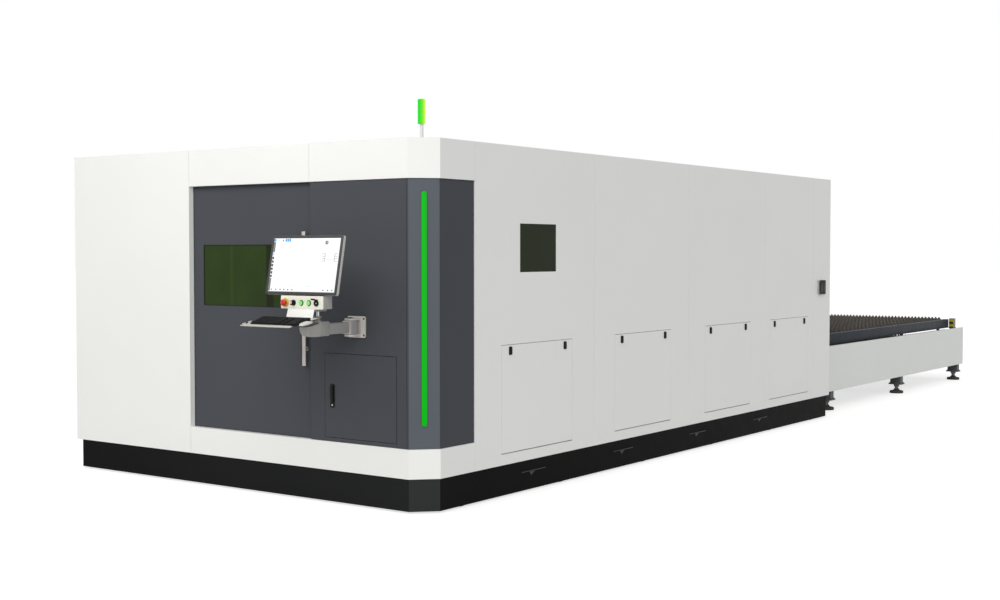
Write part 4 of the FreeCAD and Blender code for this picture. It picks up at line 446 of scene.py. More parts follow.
class Piece:
    """Closed parts in one frame, in mm, that become one Blender piece."""

    def __init__(self, turn=None):
        self.mesh = bmesh.new()
        self.finishes = []
        self.turn = turn

    def take(self, part, finish_name, soft=0.0, turn=None):
        """Rounds a part's sharp edges, puts it in place and joins it."""
        bmesh.ops.recalc_face_normals(part, faces=part.faces)
        if soft:
            sharp = [e for e in part.edges if e.calc_face_angle(0) > ROUNDED_ABOVE]
            bmesh.ops.bevel(part, geom=sharp, offset=soft, segments=2, profile=0.6,
                            affect="EDGES", clamp_overlap=True)
        for matrix in (turn, self.turn):
            if matrix is not None:
                part.transform(matrix)
        if finish_name not in self.finishes:
            self.finishes.append(finish_name)
        for face in part.faces:
            face.material_index = self.finishes.index(finish_name)
        passing = bpy.data.meshes.new("part")
        part.to_mesh(passing)
        part.free()
        self.mesh.from_mesh(passing)
        bpy.data.meshes.remove(passing)

    def block(self, x, y, z, finish_name, soft=0.8, turn=None):
        """A block between two values along each axis."""
        part = bmesh.new()
        bmesh.ops.create_cube(part, size=1)
        low, high = (Vector([pick(ends) for ends in (x, y, z)]) for pick in (min, max))
        part.transform(Matrix.Translation((low + high) / 2) @ Matrix.Diagonal((*(high - low), 1)))
        self.take(part, finish_name, soft, turn)

    def slab(self, outline, low, high, finish_name, axis="y", soft=0.5, turn=None, holes=()):
        """A flat outline with holes, pulled from low to high along an axis."""
        part = bmesh.new()
        lay = ON_PLANE[axis]
        if holes:
            edges = []
            for loop in (outline, *holes):
                ends = [part.verts.new(lay(u, v, low)) for u, v in loop]
                edges += [part.edges.new((ends[i - 1], ends[i])) for i in range(len(ends))]
            bmesh.ops.triangle_fill(part, edges=edges, use_beauty=True, use_dissolve=True)
        else:
            part.faces.new([part.verts.new(lay(u, v, low)) for u, v in outline])
        pulled = bmesh.ops.extrude_face_region(part, geom=part.faces[:], use_keep_orig=True)
        far = [item for item in pulled["geom"] if isinstance(item, bmesh.types.BMVert)]
        bmesh.ops.translate(part, verts=far, vec=Vector(lay(0, 0, high - low)))
        self.take(part, finish_name, soft, turn)

    def turned(self, profile, at, finish_name, along="z", sides=32, turn=None):
        """A part turned about an axis through at, from (radius, height) points."""
        part = bmesh.new()
        rings = []
        for radius, height in profile:
            if radius == 0:
                rings.append([part.verts.new((0, 0, height))])
            else:
                rings.append([part.verts.new((x, y, height)) for x, y in ring_of(radius, sides)])
        for lower, upper in zip(rings, rings[1:]):
            for i in range(sides):
                corners = [lower[i % len(lower)], lower[(i + 1) % len(lower)],
                           upper[(i + 1) % len(upper)], upper[i % len(upper)]]
                distinct = list(dict.fromkeys(corners))
                if len(distinct) > 2:
                    part.faces.new(distinct)
        if len(rings[0]) > 1:
            for i in range(sides):
                part.faces.new([rings[-1][i], rings[-1][(i + 1) % sides], rings[0][(i + 1) % sides],
                                rings[0][i]])
        part.transform(Matrix.Translation(Vector(at)) @ ALONG[along])
        self.take(part, finish_name, 0.0, turn)

    def done(self, name, body, stands_for=()):
        """The finished piece, riding on its body."""
        mesh = bpy.data.meshes.new(name)
        self.mesh.transform(Matrix.Scale(MM, 4))
        self.mesh.to_mesh(mesh)
        self.mesh.free()
        for finish_name in self.finishes:
            mesh.materials.append(FINISH[finish_name])
        hand_over(name, mesh, body, stands_for)


# ---------------------------------------------------------------- geometry-node trees


def nodes_group(name, inputs):
    """An empty geometry tree with its named inputs; a mesh comes in and goes out."""
    tree, given, out = new_tree(
        name, "GeometryNodeTree", {"Geometry": "Geometry", **inputs, "Material": "Material"},
        {"Geometry": "Geometry"})
    tree.is_modifier = True
    return tree, given, out


def combined(tree, x=0.0, y=0.0, z=0.0):
    """A vector of three values."""
    return linked(tree, "ShaderNodeCombineXYZ", {"X": x, "Y": y, "Z": z}).outputs["Vector"]


def moved(tree, shape, offset):
    """A shape with its points shifted by an offset."""
    return linked(tree, "GeometryNodeSetPosition", {"Geometry": shape, "Offset": offset}).outputs[0]


def joined(tree, *shapes):
    """Several shapes as one."""
    whole = linked(tree, "GeometryNodeJoinGeometry")
    for shape in shapes:
        tree.links.new(shape, whole.inputs[0])
    return whole.outputs[0]


def put_at(tree, points, shape, given, out):
    """Ends a tree with its shape at each point, as real geometry in its material."""
    copies = linked(tree, "GeometryNodeInstanceOnPoints", {"Points": points, "Instance": shape})
    real = linked(tree, "GeometryNodeRealizeInstances", {"Geometry": copies.outputs["Instances"]})
    painted = linked(tree, "GeometryNodeSetMaterial", {
        "Geometry": real.outputs["Geometry"], "Material": given["Material"]})
    tree.links.new(painted.outputs["Geometry"], out["Geometry"])
    return tree


def make_slat_tree():
    """A row of upright sheet slats, each with a saw-toothed top edge."""
    tree, given, out = nodes_group("saw_tooth_slats", {
        "Slats": 48, "Span": 4.0, "Length": 2.7, "Height": 0.1, "Tooth Depth": 0.02, "Teeth": 65,
        "Thickness": 0.004, "Centre": (0, 0, 0)})
    sheet = linked(tree, "GeometryNodeMeshGrid", {
        "Size X": given["Length"], "Size Y": given["Height"], "Vertices Y": 2,
        "Vertices X": worked(tree, "MULTIPLY_ADD", given["Teeth"], 2.0, 1.0)})
    index = linked(tree, "GeometryNodeInputIndex").outputs[0]
    column = worked(tree, "FLOOR", worked(tree, "DIVIDE", index, 2.0))
    valley = worked(tree, "SUBTRACT", 1.0, worked(tree, "MODULO", column, 2.0))
    upper = worked(tree, "MODULO", index, 2.0)
    drop = worked(tree, "MULTIPLY", worked(tree, "MULTIPLY", valley, upper), given["Tooth Depth"])
    cut = moved(tree, sheet.outputs["Mesh"], combined(tree, y=worked(tree, "MULTIPLY", drop, -1.0)))
    pulled = linked(tree, "GeometryNodeExtrudeMesh", {
        "Mesh": cut, "Offset Scale": given["Thickness"], "Individual": False})
    back = linked(tree, "GeometryNodeFlipFaces", {"Mesh": cut})
    welded = linked(tree, "GeometryNodeMergeByDistance", {
        "Geometry": joined(tree, pulled.outputs["Mesh"], back.outputs["Mesh"]),
        "Distance": 0.00005})
    upright = linked(tree, "GeometryNodeTransform", {
        "Geometry": welded.outputs["Geometry"], "Rotation": (pi / 2, 0, 0)})
    gaps = worked(tree, "SUBTRACT", given["Slats"], 1.0)
    row = linked(tree, "GeometryNodeMeshLine", {
        "Count": given["Slats"],
        "Offset": combined(tree, y=worked(tree, "DIVIDE", given["Span"], gaps))})
    half_back = combined(tree, y=worked(tree, "MULTIPLY", given["Span"], -0.5))
    places = moved(tree, moved(tree, row.outputs["Mesh"], half_back), given["Centre"])
    return put_at(tree, places, upright.outputs["Geometry"], given, out)


def make_bolt_tree():
    """A hexagon bolt head on its washer, upright at each point."""
    tree, given, out = nodes_group("hexagon_bolts", {"Radius": 0.008, "Height": 0.006})

    def share(label, part):
        """A part of one of the inputs."""
        return worked(tree, "MULTIPLY", given[label], part)

    def raised(shape, part):
        """A shape lifted by a part of the height."""
        return linked(tree, "GeometryNodeTransform", {
            "Geometry": shape.outputs["Mesh"],
            "Translation": combined(tree, z=share("Height", part)),
        }).outputs["Geometry"]

    washer = linked(tree, "GeometryNodeMeshCylinder", {
        "Vertices": 16, "Radius": share("Radius", 1.35), "Depth": share("Height", 0.4)})
    head = linked(tree, "GeometryNodeMeshCone", {
        "Vertices": 6, "Radius Top": share("Radius", 0.9), "Radius Bottom": given["Radius"],
        "Depth": given["Height"]})
    bolt = joined(tree, raised(washer, 0.2), raised(head, 0.4))
    return put_at(tree, given["Geometry"], bolt, given, out)


def make_key_tree():
    """Tapered key caps in rows and columns, less the columns that part the blocks of keys."""
    tree, given, out = nodes_group("key_caps", {
        "Columns": 21, "Rows": 6, "Width": 0.3, "Depth": 0.1, "Cap": 0.013, "Rise": 0.005})
    cap = linked(tree, "GeometryNodeMeshCube", {
        "Size": combined(tree, given["Cap"], given["Cap"], given["Rise"])})
    place = linked(tree, "GeometryNodeInputPosition").outputs[0]
    part = linked(tree, "ShaderNodeSeparateXYZ", {0: place}).outputs
    shrink = worked(tree, "MULTIPLY", worked(tree, "GREATER_THAN", part["Z"], 0.0), -0.14)
    inward = [worked(tree, "MULTIPLY", part[axis], shrink) for axis in "XY"]
    tapered = moved(tree, cap.outputs["Mesh"], combined(tree, *inward))
    field = linked(tree, "GeometryNodeMeshGrid", {
        "Size X": given["Width"], "Size Y": given["Depth"],
        "Vertices X": given["Columns"], "Vertices Y": given["Rows"]})
    index = linked(tree, "GeometryNodeInputIndex").outputs[0]
    column = worked(tree, "FLOOR", worked(tree, "DIVIDE", index, given["Rows"]))
    gaps = [worked(tree, "COMPARE", column, gap, 0.1) for gap in (14.0, 17.0)]
    left_over = linked(tree, "GeometryNodeDeleteGeometry", {
        "Geometry": field.outputs["Mesh"], "Selection": worked(tree, "MAXIMUM", *gaps),
    }, domain="POINT")
    return put_at(tree, left_over.outputs["Geometry"], tapered, given, out)


SLATS = make_slat_tree()
BOLTS = make_bolt_tree()
KEYS = make_key_tree()


def grown(name, tree, values, body, points=((0, 0, 0),), stands_for=(), turn=None):
    """Runs a geometry tree on points, in mm, and keeps its result as a plain piece."""
    start = bpy.data.meshes.new(name + "_start")
    start.from_pydata([Vector(p) * MM for p in points], [], [])
    seed = added(name + "_seed", start)
    modifier = seed.modifiers.new("growth", "NODES")
    modifier.node_group = tree
    sockets = {item.name: item.identifier for item in tree.interface.items_tree
               if item.in_out == "INPUT"}
    for label, value in values.items():
        modifier[sockets[label]] = value
    seen = seed.evaluated_get(bpy.context.evaluated_depsgraph_get())
    mesh = bpy.data.meshes.new_from_object(seen)
    mesh.name = name
    bpy.data.objects.remove(seed)
    bpy.data.meshes.remove(start)
    if turn is not None:
        mesh.transform(turn)
    hand_over(name, mesh, body, stands_for)


# ---------------------------------------------------------------- enclosure


FRONT = extent("front_panels")[0].y
RIGHT = extent("front_panels")[1].x
LEAF_Y = extent("door_leaf")[0].y
LOCK_X, LOCK_Z = 665, 975
FEET, FOOT_X, FOOT_PITCH = 5, 1555, 1146
FLAT_PAD = [(0, 0), (74, 0), (75, 2), (75, 9), (72, 12), (30, 14), (26, 17), (0, 17)]
LEG_X, LEGS_Y = 1420, (1673.5, 3713.5, 5753.5)
TALL_PAD = [(0, 0), (72, 0), (75, 3), (75, 22), (71, 28), (40, 33), (30, 42), (27, 50), (0, 50)]
JACKS, FIRST_JACK, JACK_PITCH, JACK_WIDTH = 4, 1015, 1185, 280


def make_door_fittings():
    """Rubber round the window, the pull handle on its standoffs and the lock beside it."""
    lap = 20
    low, high = extent("door_window")
    left, right, bottom, top = low.x + lap, high.x - lap, low.z + lap, high.z - lap
    seal = Piece()
    seal.slab(rounded(left - 3, bottom - 3, right + 3, top + 3, 5), LEAF_Y - 1.2, LEAF_Y + 2.9,
              "rubber", holes=[rounded(left + 2, bottom + 2, right - 2, top - 2, 3)])
    seal.done("window_seal", "front_door")

    low, high = extent("door_handle")
    centre_x = (low.x + high.x) / 2
    handle = Piece()
    handle.slab(rounded(low.x, low.y, high.x, low.y + 10, 4.5), low.z, high.z, "handle_steel",
                axis="z", soft=1.5)
    for z in (low.z + 110, high.z - 110):
        handle.turned([(0, 0), (7.5, 0), (7.5, 20.5), (12, 21), (13, 22), (13, 24.4), (0, 24.4)],
                      (centre_x, low.y + 9.3, z), "handle_steel", "y", 24)
    handle.done("pull_handle", "front_door", ("door_handle",))

    lock = Piece()
    lock.turned([(0, 0), (2.5, 0), (2.5, 1), (4.5, 1), (5.5, 2), (6, 4), (6, 5.7), (0, 5.7)],
                (LOCK_X, LEAF_Y - 5.7, LOCK_Z), "frame_grey", "y", 24)
    lock.block((LOCK_X - 0.6, LOCK_X + 0.6), (LEAF_Y - 5.9, LEAF_Y - 4), (LOCK_Z - 2, LOCK_Z + 2),
               "black_plastic", 0.2)
    lock.done("door_lock", "front_door")


def make_corner_light():
    """Lit strip on the corner: a domed lens in a dark rim, both with round ends."""
    low, high = extent("corner_light")
    centre = middle("corner_light")
    turn = Matrix.Translation((centre.x, centre.y, 0)) @ Matrix.Rotation(pi / 4, 4, "Z")
    half = 17.4
    strip = Piece(turn)
    for rim, near, far, finish_name, soft in (
            (0, -1.5, 2.4, "black_plastic", 0.4), (0.6, -4.9, -1.4, "light_green", 1.6)):
        strip.slab(rounded(rim - half, low.z + rim, half - rim, high.z - rim, half - rim - 0.1, 8),
                   near, far, finish_name, soft=soft)
    strip.done("corner_light_strip", "root", ("corner_light",))


def make_signal_tower():
    """Pole on its flange, and the ribbed lens between a base ring and a cap."""
    low, high = extent("signal_pole")
    lens_low, lens_high = extent("signal_lens")
    x, y = (low.x + high.x) / 2, (low.y + high.y) / 2
    tall = high.z - low.z
    pole = Piece()
    pole.turned([(0, 0), (31, 0), (32, 1), (32, 5), (30.5, 6.5), (15, 8), (13, 14), (11, 16),
                 (11, tall - 3), (13, tall - 2.5), (13, tall), (0, tall)], (x, y, low.z),
                "light_steel")
    pole.done("signal_post", "root", ("signal_pole",))
    height = lens_high.z - lens_low.z
    cap_low = height - 19.5
    ribs = 11
    pitch = (height - 26) / ribs
    outline = [(0, 0.5), (24.2, 0.5), (24.6, 2)]
    for i in range(ribs):
        base = 5 + i * pitch
        outline += [(23.6, base), (24.8, base + pitch * 0.3), (24.8, base + pitch * 0.7),
                    (23.6, base + pitch * 0.97)]
    outline += [(24.4, cap_low), (0, cap_low)]
    cap = [(0, cap_low + 0.1), (25, cap_low + 0.1), (25, height - 8), (23, height - 2),
           (19, height), (0, height)]
    lens = Piece()
    for profile in (outline, cap):
        lens.turned(profile, (x, y, lens_low.z), "lens_green", sides=40)
    lens.done("signal_light", "root", ("signal_lens",))


def make_latches():
    """Upright quarter-turn grips on a back plate with a round boss, one on each shaft."""
    half = 17
    for place in ("1a", "1b", "2a", "2b", "3a", "3b", "4a", "4b"):
        name = "latch_" + place
        low, high = extent(name)
        y = low.y + half if "a" in place else high.y - half
        z = (low.z + high.z) / 2
        latch = Piece()
        latch.slab(rounded(y - half, z - 27.5, y + half, z + 27.5, 7), RIGHT + 0.4, RIGHT + 4,
                   "key_black", axis="x", soft=0.8)
        latch.slab(rounded(y - 12, z - 24, y + 12, z + 24, 6), RIGHT + 3.5, high.x,
                   "key_black", axis="x", soft=1.8)
        latch.turned(drum(6, 1.2, 0.4), (high.x - 1.6, y, z - 12), "bright_steel", "x", 20)
        latch.turned(drum(7.8, RIGHT - low.x, 0.5), (low.x + 0.5, y, z), "bright_steel", "x", 20)
        tongue = (y - 8.5, high.y) if "a" in place else (low.y, y + 8.5)
        latch.block((low.x, low.x + 4), tongue, (z - 9, z + 9), "galvanised")
        latch.done("quarter_turn_" + place, name, (name,))


def make_cabinet_fittings():
    """Lift-out lever on the lock plate, with the plate's rim and keyhole."""
    low, high = extent("cabinet_handle")
    x = (low.x + high.x) / 2
    lever = Piece()
    outline = [(high.y - 2.2, low.z), (high.y - 0.8, low.z + 1.3), (high.y - 0.4, low.z + 3),
               (high.y - 0.4, high.z), (low.y + 3, high.z), (low.y + 0.6, high.z - 8),
               (low.y, high.z - 20), (low.y + 1.5, low.z + 46), (low.y + 4, low.z)]
    lever.slab(outline, low.x, high.x, "black_plastic", axis="x", soft=1.8)
    lever.done("swing_lever", "cabinet_handle", ("cabinet_handle",))

    plate_y = high.y + 0.3
    rim = Piece()
    rim.slab(rounded(x - 20, low.z - 34, x + 20, high.z + 10, 8), plate_y - 0.2, plate_y + 0.7,
             "black_plastic", soft=0.3)
    key_z = low.z - 17
    rim.turned([(0, 0), (3.5, 0), (5.5, 1.5), (6, 3), (6, 5.5), (0, 5.5)], (x, plate_y - 5, key_z),
               "bright_steel", "y", 24)
    rim.block((x - 0.9, x + 0.9), (plate_y - 5.3, plate_y - 3), (key_z - 3.5, key_z + 3.5),
              "black_plastic", 0.2)
    rim.done("swing_lever_plate", "cabinet_door")


def make_side_box():
    """Small connection box on the rear wall sheet: lid, its screws and two covered sockets."""
    low, high = extent("side_control_box")
    box = Piece()
    outline = rounded(low.y, low.z, high.y, high.z, 7)
    box.slab(outline, low.x + 0.2, high.x - 5, "arm_paint", axis="x", soft=1.2)
    box.slab(outline, high.x - 5.2, high.x - 1.5, "key_black", axis="x", soft=1.0)
    for y in (low.y + 45, high.y - 45):
        box.slab(rounded(y - 27, low.z + 26, y + 27, high.z - 26, 8), high.x - 2, high.x - 0.2,
                 "black_plastic", axis="x", soft=0.8)
    for y in (low.y + 10, high.y - 10):
        for z in (low.z + 10, high.z - 10):
            box.turned(drum(3.2, 1.2, 0.3), (high.x - 1.9, y, z), "bright_steel", "x", 16)
    box.done("side_connection_box", "root", ("side_control_box",))


def add_foot(feet, x, y, pad, stud, nuts):
    """A turned pad, its threaded stud (radius, length and start) and its nuts."""
    radius, length, start = stud
    feet.turned(pad, (x, y, 0), "rubber", sides=40)
    feet.turned(drum(radius, length), (x, y, start), "stud_black", sides=24)
    for size, low, high in nuts:
        feet.slab(ring_of(size, 6, x, y), low, high, "stud_black", axis="z", soft=1.0)


def make_levelling_feet():
    """Turned levelling feet under the enclosure, and taller ones under the table's legs."""
    low = extent("levelling_feet")[0]
    feet = Piece()
    machine_y = [low.y + 75 + FOOT_PITCH * k for k in range(FEET)]
    machine_y.append(extent("rear_wall_panels")[1].y - 350)
    for side in (-1, 1):
        for y in machine_y:
            add_foot(feet, side * FOOT_X, y, FLAT_PAD, (17.5, 94, 16),
                     ((29, 17, 33), (29, 92, 110)))
        for y in LEGS_Y:
            add_foot(feet, side * LEG_X, y, TALL_PAD, (20.5, 49.6, 50), ((33, 76, 99.6),))
    feet.done("turned_feet", "root", ("levelling_feet",))


def make_jacking_brackets():
    """Painted highlight on the four jacking brackets on the right skirt: a lighter ledge over a
    small wedge.
    """
    high = extent("skirt_panels")[1]
    mid = high.z / 2
    edges = Piece()
    for i in range(JACKS):
        start = FRONT + FIRST_JACK + JACK_PITCH * i
        end = start + JACK_WIDTH
        ledge = [(start, mid + 27.5), (end, mid + 27.5), (end, mid + 33), (start, mid + 33)]
        wedge = [(start + 0.32 * JACK_WIDTH, mid + 25), (start + 0.4 * JACK_WIDTH, mid),
                 (start + 0.56 * JACK_WIDTH, mid + 25)]
        # Ledge and wedge are lighter than the skirt: a painted highlight.
        edges.slab(ledge, high.x - 0.5, high.x + 2, "jack_bracket", axis="x", soft=0.6)
        edges.slab(wedge, high.x - 0.5, high.x + 1.2, "jack_bracket", axis="x")
    edges.done("jacking_bracket_highlights", "root")


# ---------------------------------------------------------------- table and pallets


SLAT_COUNT, TEETH = 38, 65
TUBE, RAIL_HEIGHT = 60, 106
SLEEVE_X, SLEEVE_Y, SLEEVE_LOW = (1432.5, 1487.4), (5523, 5608.9), 665.4
WHEEL_X, WHEEL_WIDTH = 1396, 24
WHEEL = [(0, 0), (14, 0), (15, 1), (24, 1), (25, 0), (29, 0), (30, 1), (30, 23), (29, 24), (25, 24),
         (24, 23), (15, 23), (14, 24), (0, 24)]
BASE_PLATE_TOP, BOLT = 115, 7


def make_pallet(level):
    """Welded pallet: tube sides and ends, slat ledges, flanged wheels and the saw-tooth slats."""
    body = f"{level}_pallet"
    low, high = extent(body)
    slat_low, slat_high = extent(f"{level}_slats")
    rail_low = high.z - RAIL_HEIGHT
    pallet = Piece()
    for side in (-1, 1):
        outer = side * high.x
        pallet.block((outer - side * TUBE, outer), (low.y, high.y), (rail_low, high.z),
                     "pallet_paint", 5)
        pallet.block((outer - side * 80, outer - side * 59.5), (low.y + TUBE, high.y - TUBE),
                     (slat_low.z - 0.5 - 6, slat_low.z - 0.5), "pallet_paint", 1)
    for y in ((low.y, low.y + TUBE), (high.y - TUBE, high.y)):
        pallet.block((-high.x + 59.5, high.x - 59.5), y, (rail_low, high.z - 13), "pallet_paint", 4)
    pallet.done(f"{level}_pallet_frame", body, (body,))

    wheels = Piece()
    centre = low.z + 30
    for side in (-1, 1):
        for y in (low.y + 560, low.y + 1660, low.y + 2760, high.y - 305):
            start = side * WHEEL_X - WHEEL_WIDTH / 2
            wheels.turned(WHEEL, (start, y, centre), "black_plastic", "x", 36)
            wheels.turned(drum(8, 30), (start - 3, y, centre), "bright_steel", "x", 20)
    wheels.done(f"{level}_pallet_wheels", body)

    grown(f"{level}_saw_tooth_slats", SLATS, {
        "Slats": SLAT_COUNT, "Span": (slat_high.y - slat_low.y + 130) * MM,
        "Length": (slat_high.x - slat_low.x) * MM, "Height": (slat_high.z - slat_low.z) * MM,
        "Tooth Depth": 0.027, "Teeth": TEETH, "Thickness": 0.004,
        "Centre": Vector((0, (slat_low.y + slat_high.y) / 2, (slat_low.z + slat_high.z) / 2)) * MM,
        "Material": FINISH["slat_steel"],
    }, body, stands_for=(f"{level}_slats",))


def make_table_fittings():
    """Hazard-painted sleeves on the end stops and the bolts of the legs' base plates."""
    high = extent("table_frame")[1]
    sleeves = Piece()
    for side in (-1, 1):
        sleeves.block([side * x for x in SLEEVE_X], SLEEVE_Y, (SLEEVE_LOW, high.z + 0.4),
                      "hazard_paint", 2)
    sleeves.done("end_stop_sleeves", "root")
    places = [(side * LEG_X + dx, y + dy, BASE_PLATE_TOP) for side in (-1, 1) for y in LEGS_Y
              for dx in (-60, 60) for dy in (-40, 40)]
    grown("leg_bolts", BOLTS, {
        "Radius": BOLT * MM, "Height": BOLT * MM, "Material": FINISH["stud_black"],
    }, "root", places)


# ---------------------------------------------------------------- operator's arm and console


BRACKET_LOW, BRACKET_HIGH = extent("arm_bracket")
ARM_LOW, ARM_HIGH = extent("swing_arm")
BOX_LOW, BOX_HIGH = extent("console_box")
ARM_X = (ARM_LOW.x + ARM_HIGH.x) / 2
PIVOT_Y = BRACKET_LOW.y + 38
POST_Y = PIVOT_Y - 294
FACE_Y = extent("green_button_1")[1].y - 4
CONSOLE_X = (BOX_LOW.x + BOX_HIGH.x) / 2
BUTTON_Z = middle("green_button_1").z
PIVOT_Z = (BRACKET_LOW.z + BRACKET_HIGH.z) / 2
STOP_X, SELECTOR_X, *BUTTONS_X, PORT_X = (middle(node).x for node in (
    "estop_button", "selector_knob", "green_button_1", "green_button_2", "data_port_cap"))
HINGE_Y, HINGE_Z = FACE_Y + 67, BUTTON_Z + 85


def make_bracket():
    """Thick wall plate with sunk screws, its two lugs and the pivot pin between them."""
    low, high = BRACKET_LOW, BRACKET_HIGH
    plate_y = high.y - 12
    lug, knuckle, reach = 12, 38, 56
    bracket = Piece()
    bracket.slab(rounded(low.x, low.z, high.x - 5, high.z, 11), plate_y, high.y - 0.4,
                 "bracket_paint", soft=3)
    outline = [(ARM_X + knuckle, plate_y + 2), (ARM_X - knuckle, plate_y + 2)]
    outline += [(ARM_X + knuckle * cos(a), PIVOT_Y + knuckle * sin(a))
                for a in (pi + i * pi / 14 for i in range(15))]
    for z in (PIVOT_Z - reach, PIVOT_Z + reach - lug):
        bracket.slab(outline, z, z + lug, "bracket_paint", axis="z", soft=2)
    bracket.block((ARM_X - 37, ARM_X + 37), (plate_y - 7, plate_y + 1),
                  (PIVOT_Z - 45, PIVOT_Z + 45), "elbow_cast", 1.5)
    bracket.turned(drum(9.9, 2 * reach), (ARM_X, PIVOT_Y, PIVOT_Z - reach), "bright_steel")
    bracket.turned([(0, 0), (15, 0), (16, 1), (16, 4), (13, 6), (0, 6)],
                   (ARM_X, PIVOT_Y, PIVOT_Z + 55.5), "black_plastic")
    for dx in (-60, 60):
        for dz in (-52, 52):
            bracket.turned([(0, 0.6), (4, 0.6), (4.4, 0), (7, 0), (7.4, 0.6), (7.4, 2), (0, 2)],
                           (ARM_X + dx, plate_y - 0.7, PIVOT_Z + dz), "monitor_grey", "y", 24)
    bracket.done("arm_wall_bracket", "root", ("arm_bracket",))


def make_arm():
    """Square-tube arm between the knuckle with its flange and the rounded cast elbow."""
    low, high = ARM_LOW, ARM_HIGH
    elbow_y = FRONT - 295
    nose, sole, crown = low.y + 34, low.z + 9, high.z
    small, large = 14, 56
    arm = Piece()
    knuckle = rounded(ARM_X - 34, PIVOT_Y - 34, ARM_X + 34, PIVOT_Y + 34, 12)
    arm.slab(knuckle, PIVOT_Z - 43.6, PIVOT_Z + 43.6, "arm_paint", axis="z", soft=2)
    arm.block((ARM_X - 27, ARM_X + 27), (elbow_y - 20, PIVOT_Y - 30), (PIVOT_Z - 34, PIVOT_Z + 34),
              "arm_paint", 7)
    arm.block((ARM_X - 33, ARM_X + 33), (PIVOT_Y - 40, PIVOT_Y - 35), (PIVOT_Z - 40, PIVOT_Z + 40),
              "bracket_paint", 1.5)
    side = [(elbow_y - 62, crown), (nose + small, crown)]
    side += [(nose + small - small * sin(a), crown - small + small * cos(a))
             for a in (i * pi / 10 for i in range(1, 6))]
    side += [(nose + large - large * cos(a), sole + large - large * sin(a))
             for a in (i * pi / 18 for i in range(10))]
    side.append((elbow_y - 62, sole))
    arm.slab(side, low.x + 1, high.x - 1, "elbow_cast", axis="x", soft=9)
    arm.block((low.x, high.x), (elbow_y - 76, elbow_y + 6), (sole + 1, crown - 3), "arm_paint", 8)
    arm.done("pendant_arm", "swing_arm", ("swing_arm",))


def turn_on_face(piece, x, ahead, profile, finish_name, sides=36):
    """A part turned about a control's middle line, that starts ahead of the console's face."""
    piece.turned(profile, (x, FACE_Y - ahead, BUTTON_Z), finish_name, "y", sides)


def make_console_box():
    """Post and collar, link to the box, cream face with its bezels and data port."""
    low_z, top_z = BUTTON_Z - 36, BUTTON_Z + 42
    left, right = BOX_LOW.x, BOX_HIGH.x
    console = Piece()
    console.block((left + 1, right - 1), (FACE_Y + 4, FACE_Y + 82), (low_z + 1, top_z), "arm_paint",
                  2.5)
    console.slab(rounded(left, low_z, right, top_z, 7), FACE_Y, FACE_Y + 4.5, "console_cream",
                 soft=0.8, holes=[ring_of(11.4, 32, STOP_X, BUTTON_Z),
                                  *(ring_of(13.7, 32, x, BUTTON_Z) for x in BUTTONS_X)])
    console.block((ARM_X - 42, ARM_X + 42), (FACE_Y + 58, POST_Y + 34), (low_z - 18, low_z + 2),
                  "arm_paint", 2)
    console.turned(drum(9.9, low_z - PIVOT_Z + 2), (ARM_X, POST_Y, PIVOT_Z - 18), "bright_steel")
    console.turned([(0, 0), (17, 0), (17, 6), (14, 8), (14, 17), (17, 19), (24, 21), (24, 27),
                    (0, 27)], (ARM_X, POST_Y, ARM_HIGH.z + 0.4), "arm_paint")
    turn_on_face(console, STOP_X, 5, [(10.4, 5.8), (12, 0.6), (26, 0), (27, 1), (27, 5.8)],
                 "ring_yellow", 40)
    turn_on_face(console, SELECTOR_X, 5, [(15.8, 5.8), (16.2, 1.6), (17.2, 1.2), (18, 2.2),
                                          (18, 5.8)], "black_plastic")
    for x in BUTTONS_X:
        turn_on_face(console, x, 5, [(13.4, 5.8), (13.4, 1.2), (14.2, 0), (15.4, 0), (16, 1),
                                     (18, 4.8), (18, 5.8)], "monitor_grey")
    turn_on_face(console, PORT_X, 9, [(0, 5.5), (10.5, 5.5), (11.5, 1), (15.5, 0.4), (17.5, 2),
                                      (18, 8), (18, 9.5), (0, 9.5)], "black_plastic", 32)
    console.block((PORT_X - 5, PORT_X + 5), (FACE_Y - 6, FACE_Y - 2), (BUTTON_Z - 3, BUTTON_Z + 3),
                  "bright_steel", 0.6)
    for side in (-1, 1):
        console.block((PORT_X + side * 6.4, PORT_X + side * 10), (FACE_Y - 15, FACE_Y + 1),
                      (BUTTON_Z + 16.2, BUTTON_Z + 23), "black_plastic", 1)
        ear = CONSOLE_X + side * 60
        console.block((ear - 8, ear + 8), (FACE_Y + 56, FACE_Y + 82), (top_z - 1, top_z + 56),
                      "arm_paint", 3)
        console.turned(drum(8, 4), (ear + (8 if side > 0 else -12), HINGE_Y, HINGE_Z),
                       "bright_steel", "x", 20)
    console.turned(drum(4.9, 120, 0.6), (CONSOLE_X - 60, HINGE_Y, HINGE_Z), "bright_steel", "x", 20)
    console.done("console_housing", "console", ("console_box",))


